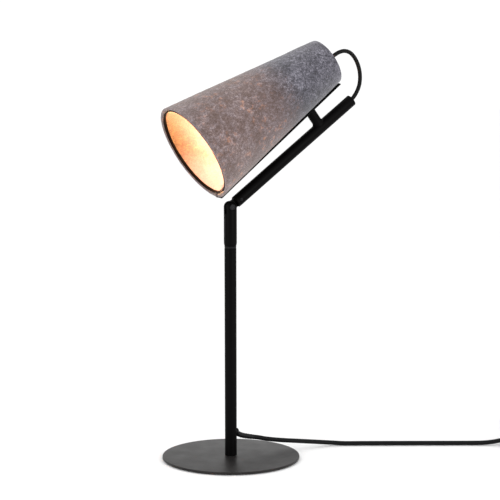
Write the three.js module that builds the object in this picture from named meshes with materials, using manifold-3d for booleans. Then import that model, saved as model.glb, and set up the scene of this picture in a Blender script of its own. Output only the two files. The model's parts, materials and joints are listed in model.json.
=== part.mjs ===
// Desk lamp: a round steel base and a slim pole, a turning knuckle, a tilting arm, and a long felt
// cone whose seam is clamped to a steel strip. Millimetres, +Z up. The origin is the centre of the
// underside of the base, and +X is the side that the arm leans to and the mains cord leaves from.

import * as THREE from "three";
import { mergeVertices } from "three/addons/utils/BufferGeometryUtils.js";
import Module from "manifold-3d";

const wasm = await Module();
wasm.setup();

// ---------------------------------------------------------------- driving dimensions

const GAP = 0.3; // free space between pieces that rest on or sit in each other

const PAD_RADIUS = 71;
const PAD_THICKNESS = 0.8;
const PLATE_RADIUS = 75;
const PLATE_THICKNESS = 2.5;
const PLATE_BOTTOM = PAD_THICKNESS + GAP;
const PLATE_TOP = PLATE_BOTTOM + PLATE_THICKNESS;

const TUBE_RADIUS = 6.5; // the pole and the arm are cut from the same tube
const TUBE_BORE = 5.5;
const POLE_TOP = 232.2;
const FOOT_TOP = 20;
const BOLT_RADIUS = 3; // M6
const CORD_EXIT_HEIGHT = 29;
const CORD_RADIUS = 2.5;

const SLEEVE_RADIUS = 7.05;
const SLEEVE_BOTTOM = 234.7;
const JOURNAL_RADIUS = 4.8;
const JOURNAL_TOP = 257;
const SET_SCREW_HEIGHT = 248;
const PIVOT_HEIGHT = 277; // the knuckle's hinge line, along Y, at the centre of the sleeve's dome
const SLOT_HALF_WIDTH = 3.4;
const SLOT_DEPTH = 7.2; // from the hinge line down to the floor of the slot
const HINGE_SCREW_RADIUS = 2;

const ARM_ANGLE = THREE.MathUtils.degToRad(36.6); // above the horizontal
const ARM_START = 8.2; // both ends of the arm tube, measured from the hinge line
const ARM_END = 186.3;
const STUB_AT = 138;
const STUB_RADIUS = 5.5;
const TONGUE_HALF_WIDTH = 2.2;
const EYE_RADIUS = 5.6;
const SHANK_END = 24;

const SHADE_ANGLE = THREE.MathUtils.degToRad(30.3); // slope of the cone's axis
const MOUTH_CENTRE = new THREE.Vector3(-43.6, 0, 337.1);
const MOUTH_RADIUS = 55.7;
const BACK_RADIUS = 26.6;
const SHADE_LENGTH = 185.6;
const FELT_THICKNESS = 3;
const SEAM_GAP = 3; // between the two cut edges of the rolled felt
const STRIP_WIDTH = 14.6;
const STRIP_THICKNESS = 1.5;
const STRIP_START = 0.6; // the strip stops short of the mouth by this much
const INNER_STRIP_START = 18; // and the one inside the cone by this much
const STRIP_OVERHANG = 0.6; // and stands out past the back by this much
const PINCH = 0.9; // how far the felt is drawn out to a soft ridge along the seam
const INNER_STRIP_WIDTH = 12;
const INNER_STRIP_THICKNESS = 1.2;
const INNER_STRIP_SEAT = FELT_THICKNESS + 1.1; // a flat bar rides a little off the curved wall
const STUB_SCREW_RADIUS = 2.2;
const STRIP_SCREW_RADIUS = 1.2;
const FOOT_PLATE = { from: 151, to: 172, thickness: 1.5, screw: 160 }; // of the holder's bracket

const LAMP_CABLE_RADIUS = 2.25;
const LEAD_RADIUS = 0.5;
const LEAD_OFFSET = 0.62; // each of the two leads from the middle plane

const HOLDER_RADIUS = 14;
const BRACKET_AT = 168; // stations along the cone's axis, from the mouth
const BULB_CENTRE = 84.5;
const BULB_RADIUS = 22.5;
const BULB_NECK = 115.7;

// The cord lies along a straight line on the table. Places on it are given along and left of it.
const LAY_HEADING = THREE.MathUtils.degToRad(-26.3);
const LAY_START = new THREE.Vector3(130, -3, 0);
const LAY_HEIGHT = CORD_RADIUS + 0.3;
const SWITCH_AT = 221;
const SWITCH_LENGTH = 60;
const SWITCH_WIDTH = 24;
const SWITCH_ENTRY = 6.6; // height of the cord through the switch
const SWITCH_TOP = 17;
const ROCKER_TILT = THREE.MathUtils.degToRad(8);
const ROCKER_PIVOT = 12.6;
const COIL_CENTRE = { along: 252, left: 53 };
const COIL_INNER = 22;
const COIL_OUTER = 37;
const COIL_BOTTOM = 1.1;
const COIL_HEIGHT = 15;
const PLUG = { along: 261, left: 109, length: 36, width: 33, thickness: 13.6, height: 7.1 };
const PIN_LENGTH = 19;
const PIN_SPACING = 19;
const PIN_RADIUS = 2;

const ROUND = 28; // facets round a tube
const WIDE = 60; // facets round the base and the cone
const FINE = 18; // facets round a small turned piece
const SMALL = 12; // facets round a screw

// ---------------------------------------------------------------- materials

function material(color, roughness, metalness) {
  return new THREE.MeshStandardMaterial({ color, roughness, metalness });
}

const BLACK_PAINT = material(0x17171a, 0.45, 0.4);
const BASE_PAINT = material(0x4a4543, 0.5, 0.4);
const FELT = material(0x79777c, 1.0, 0.0);
const FOAM = material(0x1c1c1c, 0.95, 0.0);
const STEEL = material(0xb9bbc0, 0.35, 0.9);
const BRASS = material(0xc8a24a, 0.35, 0.9);
const NYLON = material(0x18181a, 0.6, 0.0);
const CABLE = material(0x101011, 0.6, 0.0);
const PLASTIC = material(0x141415, 0.5, 0.0);
const OPAL = material(0xfff3dc, 0.3, 0.0);

// ---------------------------------------------------------------- solids

function toSolid(geometry) {
  const bare = new THREE.BufferGeometry();
  const flat = geometry.index ? geometry.toNonIndexed() : geometry;
  bare.setAttribute("position", flat.getAttribute("position").clone());
  const merged = mergeVertices(bare, 1e-4);
  const vertProperties = merged.getAttribute("position").array;
  const triVerts = new Uint32Array(merged.index.array);
  return new wasm.Manifold(new wasm.Mesh({ numProp: 3, vertProperties, triVerts }));
}

function toGeometry(solid) {
  const mesh = solid.getMesh();
  const geometry = new THREE.BufferGeometry();
  geometry.setAttribute("position", new THREE.BufferAttribute(mesh.vertProperties, 3));
  geometry.setIndex(new THREE.BufferAttribute(mesh.triVerts, 1));
  geometry.computeVertexNormals();
  return geometry;
}

function cut(geometry, ...tools) {
  let solid = toSolid(geometry);
  for (const tool of tools) solid = solid.subtract(toSolid(tool));
  return toGeometry(solid);
}

function join(geometry, ...others) {
  let solid = toSolid(geometry);
  for (const other of others) solid = solid.add(toSolid(other));
  return toGeometry(solid);
}

// Turns a profile of [radius, height] points round the Z axis. A profile that doesn't start and end
// on the axis is closed on itself, and it may run either way round.
function turned(profile, facets = ROUND) {
  const area = profile.reduce((sum, [r, h], i) => {
    const [nextR, nextH] = profile[(i + 1) % profile.length];
    return sum + r * nextH - nextR * h;
  }, 0);
  const points = (area > 0 ? profile : [...profile].reverse()).map(([r, h]) => new THREE.Vector2(r, h));
  const onAxis = points[0].x === 0 && points[points.length - 1].x === 0;
  if (!onAxis) points.push(points[0].clone());
  return new THREE.LatheGeometry(points, facets).rotateX(Math.PI / 2);
}

function rod(radius, from, to, facets = ROUND) {
  return turned([[0, from], [radius, from], [radius, to], [0, to]], facets);
}

function ring(inner, outer, from, to, facets = ROUND) {
  return turned([[inner, from], [outer, from], [outer, to], [inner, to]], facets);
}

// A tube whose two outer rims are rounded off by a bevel.
function bevelledTube(inner, outer, from, to, bevel) {
  return turned([
    [inner, from],
    [outer - bevel, from],
    [outer, from + bevel],
    [outer, to - bevel],
    [outer - bevel, to],
    [inner, to],
  ]);
}

function box(x0, x1, y0, y1, z0, z1) {
  const geometry = new THREE.BoxGeometry(x1 - x0, y1 - y0, z1 - z0);
  return geometry.translate((x0 + x1) / 2, (y0 + y1) / 2, (z0 + z1) / 2);
}

function alongX(geometry) {
  return geometry.rotateY(Math.PI / 2);
}

function alongY(geometry) {
  return geometry.rotateX(-Math.PI / 2);
}

// A round cord along a smooth curve through hand-placed points.
function cord(points, radius, steps, sides = 8) {
  const outline = Array.from({ length: sides }, (_, i) => {
    const angle = (2 * Math.PI * i) / sides;
    return new THREE.Vector2(radius * Math.cos(angle), radius * Math.sin(angle));
  });
  const extrudePath = new THREE.CatmullRomCurve3(points, false, "centripetal");
  return new THREE.ExtrudeGeometry(new THREE.Shape(outline), { steps, extrudePath, bevelEnabled: false });
}

// A flat slab with rounded corners in the XY plane.
function roundedSlab(length, width, corner, z0, z1) {
  const [x, y] = [length / 2, width / 2];
  const outline = new THREE.Shape();
  outline.moveTo(-x + corner, -y);
  outline.absarc(x - corner, -y + corner, corner, -Math.PI / 2, 0);
  outline.absarc(x - corner, y - corner, corner, 0, Math.PI / 2);
  outline.absarc(-x + corner, y - corner, corner, Math.PI / 2, Math.PI);
  outline.absarc(-x + corner, -y + corner, corner, Math.PI, 1.5 * Math.PI);
  const slab = new THREE.ExtrudeGeometry(outline, { depth: z1 - z0, curveSegments: 4, bevelEnabled: false });
  return slab.translate(0, 0, z0);
}

// ---------------------------------------------------------------- frames

const lamp = new THREE.Group();

// The arm's frame: X runs up the arm from the hinge line, and Z points to the shade.
const arm = new THREE.Group();
arm.position.set(0, 0, PIVOT_HEIGHT);
arm.rotation.y = -ARM_ANGLE;
lamp.add(arm);

// The shade's frame: Z runs along the cone's axis from the mouth, and X points to the seam.
const shade = new THREE.Group();
shade.position.copy(MOUTH_CENTRE);
shade.rotation.y = Math.PI / 2 - SHADE_ANGLE;
lamp.add(shade);

// The seam's frame: Z runs up the cone's lowest line, and X points straight out of the felt.
const TAPER = Math.atan2(MOUTH_RADIUS - BACK_RADIUS, SHADE_LENGTH);
const SEAM_LENGTH = SHADE_LENGTH / Math.cos(TAPER);
const seam = new THREE.Group();
seam.position.set(MOUTH_RADIUS, 0, 0);
seam.rotation.y = -TAPER;
shade.add(seam);
lamp.updateMatrixWorld(true);

function add(group, name, geometry, look) {
  const mesh = new THREE.Mesh(geometry, look);
  mesh.name = name;
  group.add(mesh);
}

// Carries geometry drawn in one frame over to another.
function carried(geometry, from, to) {
  const move = to.matrixWorld.clone().invert().multiply(from.matrixWorld);
  return geometry.applyMatrix4(move);
}

function coneRadius(station) {
  return MOUTH_RADIUS - (MOUTH_RADIUS - BACK_RADIUS) * (station / SHADE_LENGTH);
}

// A point on the table, along the cord's line and to the left of it.
function onTable(along, left, height) {
  const [c, s] = [Math.cos(LAY_HEADING), Math.sin(LAY_HEADING)];
  return new THREE.Vector3(
    LAY_START.x + along * c - left * s,
    LAY_START.y + along * s + left * c,
    height,
  );
}

// ---------------------------------------------------------------- base and pole

function basePad() {
  add(lamp, "base_pad", rod(PAD_RADIUS, 0, PAD_THICKNESS, WIDE), FOAM);
}

function basePlate() {
  const EDGE = 0.4;
  const HEAD_RADIUS = 6.2;
  const disc = turned(
    [
      [0, PLATE_BOTTOM],
      [PLATE_RADIUS - EDGE, PLATE_BOTTOM],
      [PLATE_RADIUS, PLATE_BOTTOM + EDGE],
      [PLATE_RADIUS, PLATE_TOP - EDGE],
      [PLATE_RADIUS - EDGE, PLATE_TOP],
      [0, PLATE_TOP],
    ],
    WIDE,
  );
  const hole = turned(
    [
      [0, PLATE_BOTTOM - 1],
      [HEAD_RADIUS, PLATE_BOTTOM - 1],
      [HEAD_RADIUS, PLATE_BOTTOM],
      [BOLT_RADIUS + GAP, PLATE_TOP - 0.4],
      [BOLT_RADIUS + GAP, PLATE_TOP + 1],
      [0, PLATE_TOP + 1],
    ],
    SMALL,
  );
  add(lamp, "base_plate", cut(disc, hole), BASE_PAINT);
}

function baseBolt() {
  const HEAD_RADIUS = 5.7;
  const HEAD_FACE = PLATE_BOTTOM + 0.1;
  const bolt = turned(
    [
      [0, HEAD_FACE],
      [HEAD_RADIUS, HEAD_FACE],
      [BOLT_RADIUS, PLATE_TOP - 0.6],
      [BOLT_RADIUS, FOOT_TOP - 3],
      [0, FOOT_TOP - 3],
    ],
    SMALL,
  );
  const hexSocket = rod(1.8, HEAD_FACE - 1, HEAD_FACE + 1.6, 6);
  add(lamp, "base_bolt", cut(bolt, hexSocket), STEEL);
}

function poleFoot() {
  const foot = rod(TUBE_BORE - GAP, PLATE_TOP + GAP, FOOT_TOP);
  const thread = rod(BOLT_RADIUS + GAP, PLATE_TOP - 1, FOOT_TOP - 2, SMALL);
  add(lamp, "pole_foot", cut(foot, thread), STEEL);
}

function poleTube() {
  const tube = ring(TUBE_BORE, TUBE_RADIUS, PLATE_TOP + GAP, POLE_TOP);
  const cordHole = alongX(rod(3.6, 2, 9, SMALL)).translate(0, 0, CORD_EXIT_HEIGHT);
  add(lamp, "pole_tube", cut(tube, cordHole), BLACK_PAINT);
}

// The line of the strain relief's tail as it thins out, and then the cord's way down to the table.
const RELIEF_TAIL = [
  { x: 7.5, z: 26.8, radius: 3 },
  { x: 13.5, z: 24.3, radius: 2.85 },
  { x: 20, z: 22.5, radius: 2.75 },
  { x: 28, z: 20.8, radius: 2.65 },
];
const CORD_DROP = [
  [28.4, 20.7],
  [34, 19.5],
  [43.9, 16.9],
  [61.4, 13.5],
  [78.5, 10.8],
  [96.3, 8],
  [112.3, 5.5],
].map(([x, z]) => new THREE.Vector3(x, 0, z));

function frustum(from, to) {
  const start = new THREE.Vector3(from.x, 0, from.z);
  const way = new THREE.Vector3(to.x, 0, to.z).sub(start);
  const length = way.length() + 0.2; // runs a little into the next one
  const geometry = turned([[0, 0], [from.radius, 0], [to.radius, length], [0, length]], SMALL);
  const turn = new THREE.Quaternion().setFromUnitVectors(new THREE.Vector3(0, 0, 1), way.normalize());
  return geometry.applyQuaternion(turn).translate(start.x, 0, start.z);
}

// A domed head against the pole, and a tapering tail moulded round the cord.
function strainRelief() {
  const HEAD_RADIUS = 4.2;
  const HEAD_RISE = 2.5;
  const DOME_STEPS = 4;
  const face = TUBE_RADIUS + GAP;
  const neck = alongX(rod(3.2, 3.4, face + 1, SMALL)).translate(0, 0, CORD_EXIT_HEIGHT);
  const dome = [[0, face]];
  for (let i = 0; i < DOME_STEPS; i++) {
    const angle = (i / DOME_STEPS) * (Math.PI / 2);
    dome.push([HEAD_RADIUS * Math.cos(angle), face + HEAD_RISE * Math.sin(angle)]);
  }
  dome.push([0, face + HEAD_RISE]);
  const head = alongX(turned(dome, FINE)).translate(0, 0, CORD_EXIT_HEIGHT);
  const tail = RELIEF_TAIL.slice(1).map((point, i) => frustum(RELIEF_TAIL[i], point));
  const shell = cut(join(head, ...tail), rod(face, 15, 45));
  add(lamp, "cord_strain_relief", join(shell, neck), PLASTIC);
}

function poleCable() {
  const bend = [[0.7, 31], [0.4, 34], [0, 40], [0, 60], [0, 120], [0, JOURNAL_TOP - 1]];
  const points = bend.map(([x, z]) => new THREE.Vector3(x, 0, z));
  add(lamp, "pole_cable", cord(points, LAMP_CABLE_RADIUS, 30), CABLE);
}

// ---------------------------------------------------------------- swivel

const FLANGE_BOTTOM = POLE_TOP + GAP;
const FLANGE_TOP = FLANGE_BOTTOM + 1;

// The groove for the sleeve's set screw runs all round but for one rib, which stops the turn.
function swivelSpigot() {
  const BORE = 3.2;
  const GROOVE = { radius: 3.9, half: 1.9 };
  const spigot = turned([
    [BORE, POLE_TOP - 20],
    [TUBE_BORE - GAP, POLE_TOP - 20],
    [TUBE_BORE - GAP, FLANGE_BOTTOM],
    [6.4, FLANGE_BOTTOM],
    [6.4, FLANGE_TOP],
    [JOURNAL_RADIUS, FLANGE_TOP],
    [JOURNAL_RADIUS, SET_SCREW_HEIGHT - GROOVE.half],
    [GROOVE.radius, SET_SCREW_HEIGHT - GROOVE.half],
    [GROOVE.radius, SET_SCREW_HEIGHT + GROOVE.half],
    [JOURNAL_RADIUS, SET_SCREW_HEIGHT + GROOVE.half],
    [JOURNAL_RADIUS, JOURNAL_TOP],
    [BORE, JOURNAL_TOP],
  ], FINE);
  const groove = [SET_SCREW_HEIGHT - GROOVE.half, SET_SCREW_HEIGHT + GROOVE.half];
  const stopRib = box(GROOVE.radius - 0.4, JOURNAL_RADIUS - 0.2, -0.5, 0.5, groove[0] - 0.3, groove[1] + 0.3);
  add(lamp, "swivel_spigot", join(spigot, stopRib), STEEL);
}

function swivelWasher() {
  const from = FLANGE_TOP + GAP;
  add(lamp, "swivel_washer", ring(JOURNAL_RADIUS + GAP, 6.5, from, SLEEVE_BOTTOM - GAP), NYLON);
}

function domedBlank() {
  const LEAD_IN = 2.8; // height of the bevel at the lower rim
  const profile = [
    [0, SLEEVE_BOTTOM],
    [SLEEVE_RADIUS - 0.5, SLEEVE_BOTTOM],
    [SLEEVE_RADIUS, SLEEVE_BOTTOM + LEAD_IN],
  ];
  const DOME_STEPS = 6;
  for (let i = 0; i < DOME_STEPS; i++) {
    const angle = (i / DOME_STEPS) * (Math.PI / 2);
    profile.push([SLEEVE_RADIUS * Math.cos(angle), PIVOT_HEIGHT + SLEEVE_RADIUS * Math.sin(angle)]);
  }
  profile.push([0, PIVOT_HEIGHT + SLEEVE_RADIUS]);
  return turned(profile);
}

// The sleeve turns on the spigot, and its domed top is slotted into the knuckle's two cheeks.
function swivelSleeve() {
  const slotFloor = PIVOT_HEIGHT - SLOT_DEPTH;
  const bore = rod(JOURNAL_RADIUS + GAP, SLEEVE_BOTTOM - 1, JOURNAL_TOP + 2);
  const leadHole = rod(3.4, JOURNAL_TOP, slotFloor + 1, FINE).translate(1.2, 0, 0);
  const slot = box(-10, 10, -SLOT_HALF_WIDTH, SLOT_HALF_WIDTH, slotFloor, PIVOT_HEIGHT + 10);
  const hingeHole = alongY(rod(HINGE_SCREW_RADIUS + GAP, -9, 9, SMALL)).translate(0, 0, PIVOT_HEIGHT);
  const headSeat = alongY(rod(3.6, -9, -4.9, SMALL)).translate(0, 0, PIVOT_HEIGHT);
  const nutSeat = alongY(rod(3.6, 4.9, 9, SMALL)).translate(0, 0, PIVOT_HEIGHT);
  const setScrewHole = alongX(rod(1.8, -9, -2, SMALL)).translate(0, 0, SET_SCREW_HEIGHT);
  const sleeve = cut(domedBlank(), bore, leadHole, slot, hingeHole, headSeat, nutSeat, setScrewHole);
  add(lamp, "swivel_sleeve", sleeve, BLACK_PAINT);
}

// Its tip runs in the spigot's groove, so the sleeve turns but can't lift off, and it stops at the rib.
function sleeveSetScrew() {
  const screw = rod(1.5, -SLEEVE_RADIUS, -4.2, SMALL);
  const hexSocket = rod(0.8, -SLEEVE_RADIUS - 1, -SLEEVE_RADIUS + 1.2, 6);
  add(lamp, "sleeve_set_screw", alongX(cut(screw, hexSocket)).translate(0, 0, SET_SCREW_HEIGHT), STEEL);
}

// ---------------------------------------------------------------- knuckle

function hingeScrew() {
  const HEAD_SEAT = -4.9 - GAP;
  const screw = turned(
    [
      [0, -6.3],
      [3, -6.3],
      [3.3, -6],
      [3.3, HEAD_SEAT],
      [HINGE_SCREW_RADIUS, HEAD_SEAT],
      [HINGE_SCREW_RADIUS, 6],
      [0, 6],
    ],
    SMALL,
  );
  const slot = box(-4, 4, -0.4, 0.4, -7, -5.6);
  add(lamp, "hinge_screw", alongY(cut(screw, slot)).translate(0, 0, PIVOT_HEIGHT), BLACK_PAINT);
}

function hingeNut() {
  const nut = ring(HINGE_SCREW_RADIUS + GAP, 3.3, 4.9 + GAP, 6.2, SMALL);
  add(lamp, "hinge_nut", alongY(nut).translate(0, 0, PIVOT_HEIGHT), STEEL);
}

function hingeWashers() {
  const inner = TONGUE_HALF_WIDTH + GAP;
  const outer = SLOT_HALF_WIDTH - GAP;
  for (const [name, y0, y1] of [
    ["hinge_washer_near", -outer, -inner],
    ["hinge_washer_far", inner, outer],
  ]) {
    const washer = alongY(ring(HINGE_SCREW_RADIUS + GAP, 4.6, y0, y1, FINE));
    add(lamp, name, washer.translate(0, 0, PIVOT_HEIGHT), NYLON);
  }
}

// A flat eye on the hinge screw, and a round shank that fills the arm's lower end. Both leads run
// round the eye in its groove and on through the shank.
function hingeTongue() {
  const NECK_HALF_HEIGHT = 4.2;
  const HUB_RADIUS = 3.2;
  const GROOVE_HALF = 1.4;
  const shankStart = ARM_START + GAP;
  const eye = alongY(rod(EYE_RADIUS, -TONGUE_HALF_WIDTH, TONGUE_HALF_WIDTH, ROUND));
  const neck = box(
    0, shankStart + 1,
    -TONGUE_HALF_WIDTH, TONGUE_HALF_WIDTH,
    -NECK_HALF_HEIGHT, NECK_HALF_HEIGHT,
  );
  const shank = alongX(rod(TUBE_BORE - GAP, shankStart, SHANK_END, FINE));
  const hingeHole = alongY(rod(HINGE_SCREW_RADIUS + GAP, -5, 5, SMALL));
  const groove = alongY(ring(HUB_RADIUS, ARM_START - 0.2, -GROOVE_HALF, GROOVE_HALF, FINE));
  const leadBore = alongX(rod(1.9, HUB_RADIUS + 1, SHANK_END + 1, SMALL));
  const dimple = alongY(rod(1.5, -7, -4.2, SMALL)).translate(13.5, 0, 0);
  const tongue = cut(join(eye, neck, shank), hingeHole, groove, leadBore, dimple);
  add(arm, "hinge_tongue", tongue, BLACK_PAINT);
}

// The two leads leave the pole cable, bend round the hinge and reach the arm cable.
function knuckleLeads() {
  const route = [
    [0, 257.2],
    [1.2, 262],
    [3, 267],
    [4.3, 272],
    [4.9, 276],
    [6.2, 279.8],
    [9, 283.4],
    [13, 286.7],
    [18, 290.4],
  ];
  for (const [name, y] of [
    ["knuckle_lead_live", -LEAD_OFFSET],
    ["knuckle_lead_neutral", LEAD_OFFSET],
  ]) {
    const points = route.map(([x, z]) => new THREE.Vector3(x, y, z));
    add(lamp, name, cord(points, LEAD_RADIUS, 18, 6), CABLE);
  }
}

// ---------------------------------------------------------------- arm

function armTube() {
  const tube = bevelledTube(TUBE_BORE, TUBE_RADIUS, ARM_START, ARM_END, 0.8);
  const grubHole = rod(1.8, -8, -4, SMALL).rotateX(-Math.PI / 2).translate(0, 0, 13.5);
  add(arm, "arm_tube", alongX(cut(tube, grubHole)), BLACK_PAINT);
}

function armGrubScrew() {
  const screw = rod(1.5, -6.3, -4.5, SMALL);
  const hexSocket = rod(0.8, -7, -5.3, 6);
  add(arm, "arm_grub_screw", alongY(cut(screw, hexSocket)).translate(13.5, 0, 0), STEEL);
}

function armEndBush() {
  const bush = ring(LAMP_CABLE_RADIUS + GAP + 0.1, TUBE_BORE - GAP, ARM_END - 9, ARM_END - 0.4, FINE);
  add(arm, "arm_end_bush", alongX(bush), PLASTIC);
}

// One cable, along the arm, out of its end in a loop, and in through the back of the cone.
function lampCable() {
  const inArm = [SHANK_END + 1.5, 60, 100, 140, 170, 182].map((t) =>
    arm.localToWorld(new THREE.Vector3(t, 0, 0)),
  );
  const loop = [
    [151.7, 390.7],
    [156, 396.6],
    [159.2, 403.6],
    [160.4, 411.4],
    [159.8, 419.6],
    [157.2, 427.9],
    [152.9, 435.2],
    [147.3, 440.3],
    [140.6, 442.2],
    [134, 441],
    [128, 438],
  ].map(([x, z]) => new THREE.Vector3(x, 0, z));
  const inHolder = [190, 182, 172].map((s) => shade.localToWorld(new THREE.Vector3(0, 0, s)));
  add(lamp, "lamp_cable", cord([...inArm, ...loop, ...inHolder], LAMP_CABLE_RADIUS, 52), CABLE);
}

// Where the stub's axis meets the seam, as a distance up the seam.
const stubOnSeam = seam.worldToLocal(arm.localToWorld(new THREE.Vector3(STUB_AT, 0, 24))).z;

function seamRod(radius, x0, x1, z, facets = SMALL) {
  return alongX(rod(radius, x0, x1, facets)).translate(0, 0, z);
}

function shadeStub() {
  const blank = rod(STUB_RADIUS, 0, 40).translate(STUB_AT, 0, 0);
  const armSurface = alongX(rod(TUBE_RADIUS + GAP, STUB_AT - 12, STUB_AT + 12));
  const stripUnderside = STRIP_TOP + GAP;
  const above = box(-60, stripUnderside, -20, 20, stubOnSeam - 30, stubOnSeam + 30);
  const thread = seamRod(STUB_SCREW_RADIUS + GAP, -5, stripUnderside + 9, stubOnSeam);
  const tools = [armSurface, carried(above, seam, arm), carried(thread, seam, arm)];
  add(arm, "shade_stub", cut(blank, ...tools), BLACK_PAINT);
}

// ---------------------------------------------------------------- shade

// Draws the wall out to a soft ridge where its two edges meet.
function pinched(wall) {
  const REACH = THREE.MathUtils.degToRad(40);
  const places = wall.getAttribute("position");
  for (let i = 0; i < places.count; i++) {
    const [x, y] = [places.getX(i), places.getY(i)];
    const nearness = Math.max(0, 1 - Math.abs(Math.atan2(y, x)) / REACH);
    const growth = 1 + (PINCH * nearness ** 2) / Math.hypot(x, y);
    places.setXY(i, x * growth, y * growth);
  }
  return wall;
}

function feltShade() {
  const wall = turned(
    [
      [MOUTH_RADIUS - FELT_THICKNESS, 0],
      [MOUTH_RADIUS, 0],
      [BACK_RADIUS, SHADE_LENGTH],
      [BACK_RADIUS - FELT_THICKNESS, SHADE_LENGTH],
    ],
    WIDE,
  );
  const slit = box(0, 80, -SEAM_GAP / 2, SEAM_GAP / 2, -5, SHADE_LENGTH + 5);
  const screwHole = seamRod(STUB_SCREW_RADIUS + 2 * GAP, -8, 4, stubOnSeam);
  add(shade, "felt_shade", cut(pinched(wall), slit, carried(screwHole, seam, shade)), FELT);
}

const STRIP_SEAT = PINCH + GAP;
const STRIP_TOP = STRIP_SEAT + STRIP_THICKNESS;
const STRIP_SCREWS = [
  ["strip_screw_front", 24, 0],
  ["strip_screw_middle", 90, 0],
  ["strip_screw_back", FOOT_PLATE.screw, FOOT_PLATE.thickness + GAP],
];

function screwHoles() {
  const small = STRIP_SCREWS.map(([, z]) => seamRod(STRIP_SCREW_RADIUS + GAP, -10, 6, z, 16));
  return [...small, seamRod(STUB_SCREW_RADIUS + GAP, -10, 6, stubOnSeam)];
}

function seamStrips() {
  const half = STRIP_WIDTH / 2;
  const outer = box(STRIP_SEAT, STRIP_TOP, -half, half, STRIP_START, SEAM_LENGTH + STRIP_OVERHANG);
  add(seam, "seam_strip", cut(outer, ...screwHoles()), BLACK_PAINT);
  const innerHalf = INNER_STRIP_WIDTH / 2;
  const seat = -INNER_STRIP_SEAT;
  const face = seat - INNER_STRIP_THICKNESS;
  const inner = box(face, seat, -innerHalf, innerHalf, INNER_STRIP_START, SEAM_LENGTH - 4);
  add(seam, "seam_strip_inner", cut(inner, ...screwHoles()), BLACK_PAINT);
}

// Pan-head screws from inside the cone, threaded into the outer strip.
function stripScrews() {
  const innerFace = -INNER_STRIP_SEAT - INNER_STRIP_THICKNESS - GAP;
  const makeScrew = (radius, headRadius, headHeight, face, tip) =>
    turned(
      [
        [0, face - headHeight],
        [headRadius - 0.6, face - headHeight],
        [headRadius, face - headHeight + 0.6],
        [headRadius, face],
        [radius, face],
        [radius, tip],
        [0, tip],
      ],
      SMALL,
    );
  for (const [name, z, lift] of STRIP_SCREWS) {
    const screw = makeScrew(STRIP_SCREW_RADIUS, 2.4, 1.6, innerFace - lift, STRIP_TOP - 0.2);
    add(seam, name, alongX(screw).translate(0, 0, z), STEEL);
  }
  const stubScrew = makeScrew(STUB_SCREW_RADIUS, 4.2, 2.6, innerFace, STRIP_TOP + 7.5);
  add(seam, "stub_screw", alongX(stubScrew).translate(0, 0, stubOnSeam), STEEL);
}

function mouthHoop() {
  const RECESS = 0.4;
  const HEIGHT = 3.4;
  const WALL = 1.4;
  const outer = coneRadius(RECESS + HEIGHT) - FELT_THICKNESS - GAP;
  add(shade, "mouth_hoop", ring(outer - WALL, outer, RECESS, RECESS + HEIGHT, WIDE), BLACK_PAINT);
}

// ---------------------------------------------------------------- lampholder and bulb

function holderBracket() {
  const LUG_RADIUS = 9;
  const HALF_WIDTH = 5.5;
  const { from, to, thickness, screw } = FOOT_PLATE;
  const footTop = -INNER_STRIP_SEAT - INNER_STRIP_THICKNESS - GAP;
  const foot = carried(box(footTop - thickness, footTop, -HALF_WIDTH, HALF_WIDTH, from, to), seam, shade);
  const reach = coneRadius(BRACKET_AT) + footTop - 0.6;
  const upright = box(0, reach, -HALF_WIDTH, HALF_WIDTH, BRACKET_AT, BRACKET_AT + 1.5);
  const lug = rod(LUG_RADIUS, BRACKET_AT, BRACKET_AT + 1.5, FINE);
  const nippleHole = rod(5 + GAP, BRACKET_AT - 2, BRACKET_AT + 4, FINE);
  const screwHole = carried(seamRod(STRIP_SCREW_RADIUS + GAP, -12, 0, screw, 16), seam, shade);
  const bracket = cut(join(upright, lug, foot), nippleHole, screwHole);
  add(shade, "holder_bracket", bracket, STEEL);
}

function holderFittings() {
  add(shade, "holder_nipple", ring(3, 5, BRACKET_AT - 9, BRACKET_AT + 8, FINE), STEEL);
  const nut = cut(rod(8, BRACKET_AT + 1.8, BRACKET_AT + 4.8, 6), rod(5 + GAP, BRACKET_AT, BRACKET_AT + 6, FINE));
  add(shade, "nipple_locknut", nut, STEEL);
  const gland = turned(
    [
      [5 + GAP, BRACKET_AT + 5.1],
      [7, BRACKET_AT + 5.1],
      [7, BRACKET_AT + 12],
      [5, BRACKET_AT + 16],
      [2.7, BRACKET_AT + 16],
      [2.7, BRACKET_AT + 8.4],
      [5 + GAP, BRACKET_AT + 8.4],
    ],
    FINE,
  );
  add(shade, "cable_gland", gland, PLASTIC);
}

function lampholder() {
  const WALL = 1.6;
  const capBack = BRACKET_AT - GAP;
  const capFront = 148;
  const cap = turned([
    [5 + GAP, capBack],
    [9, capBack],
    [12.4, capBack - 2],
    [HOLDER_RADIUS, capBack - 6],
    [HOLDER_RADIUS, capFront],
    [HOLDER_RADIUS - WALL, capFront],
    [HOLDER_RADIUS - WALL, capBack - 6],
    [9, capBack - WALL - 1],
    [5 + GAP, capBack - WALL - 1],
  ]);
  add(shade, "holder_cap", cap, PLASTIC);
  const floor = 142.7;
  const body = turned([
    [0, floor],
    [9.6, floor],
    [9.6, 112],
    [11.6, 112],
    [12.4, 113],
    [12.4, 136],
    [HOLDER_RADIUS, 138],
    [HOLDER_RADIUS, capFront - GAP],
    [0, capFront - GAP],
  ]);
  add(shade, "holder_body", body, PLASTIC);
  add(shade, "socket_thread", ring(7.9, 8.5, 118, 141, FINE), BRASS);
  add(shade, "centre_contact", rod(3, 140.6, floor - GAP, SMALL), BRASS);
}

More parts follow.
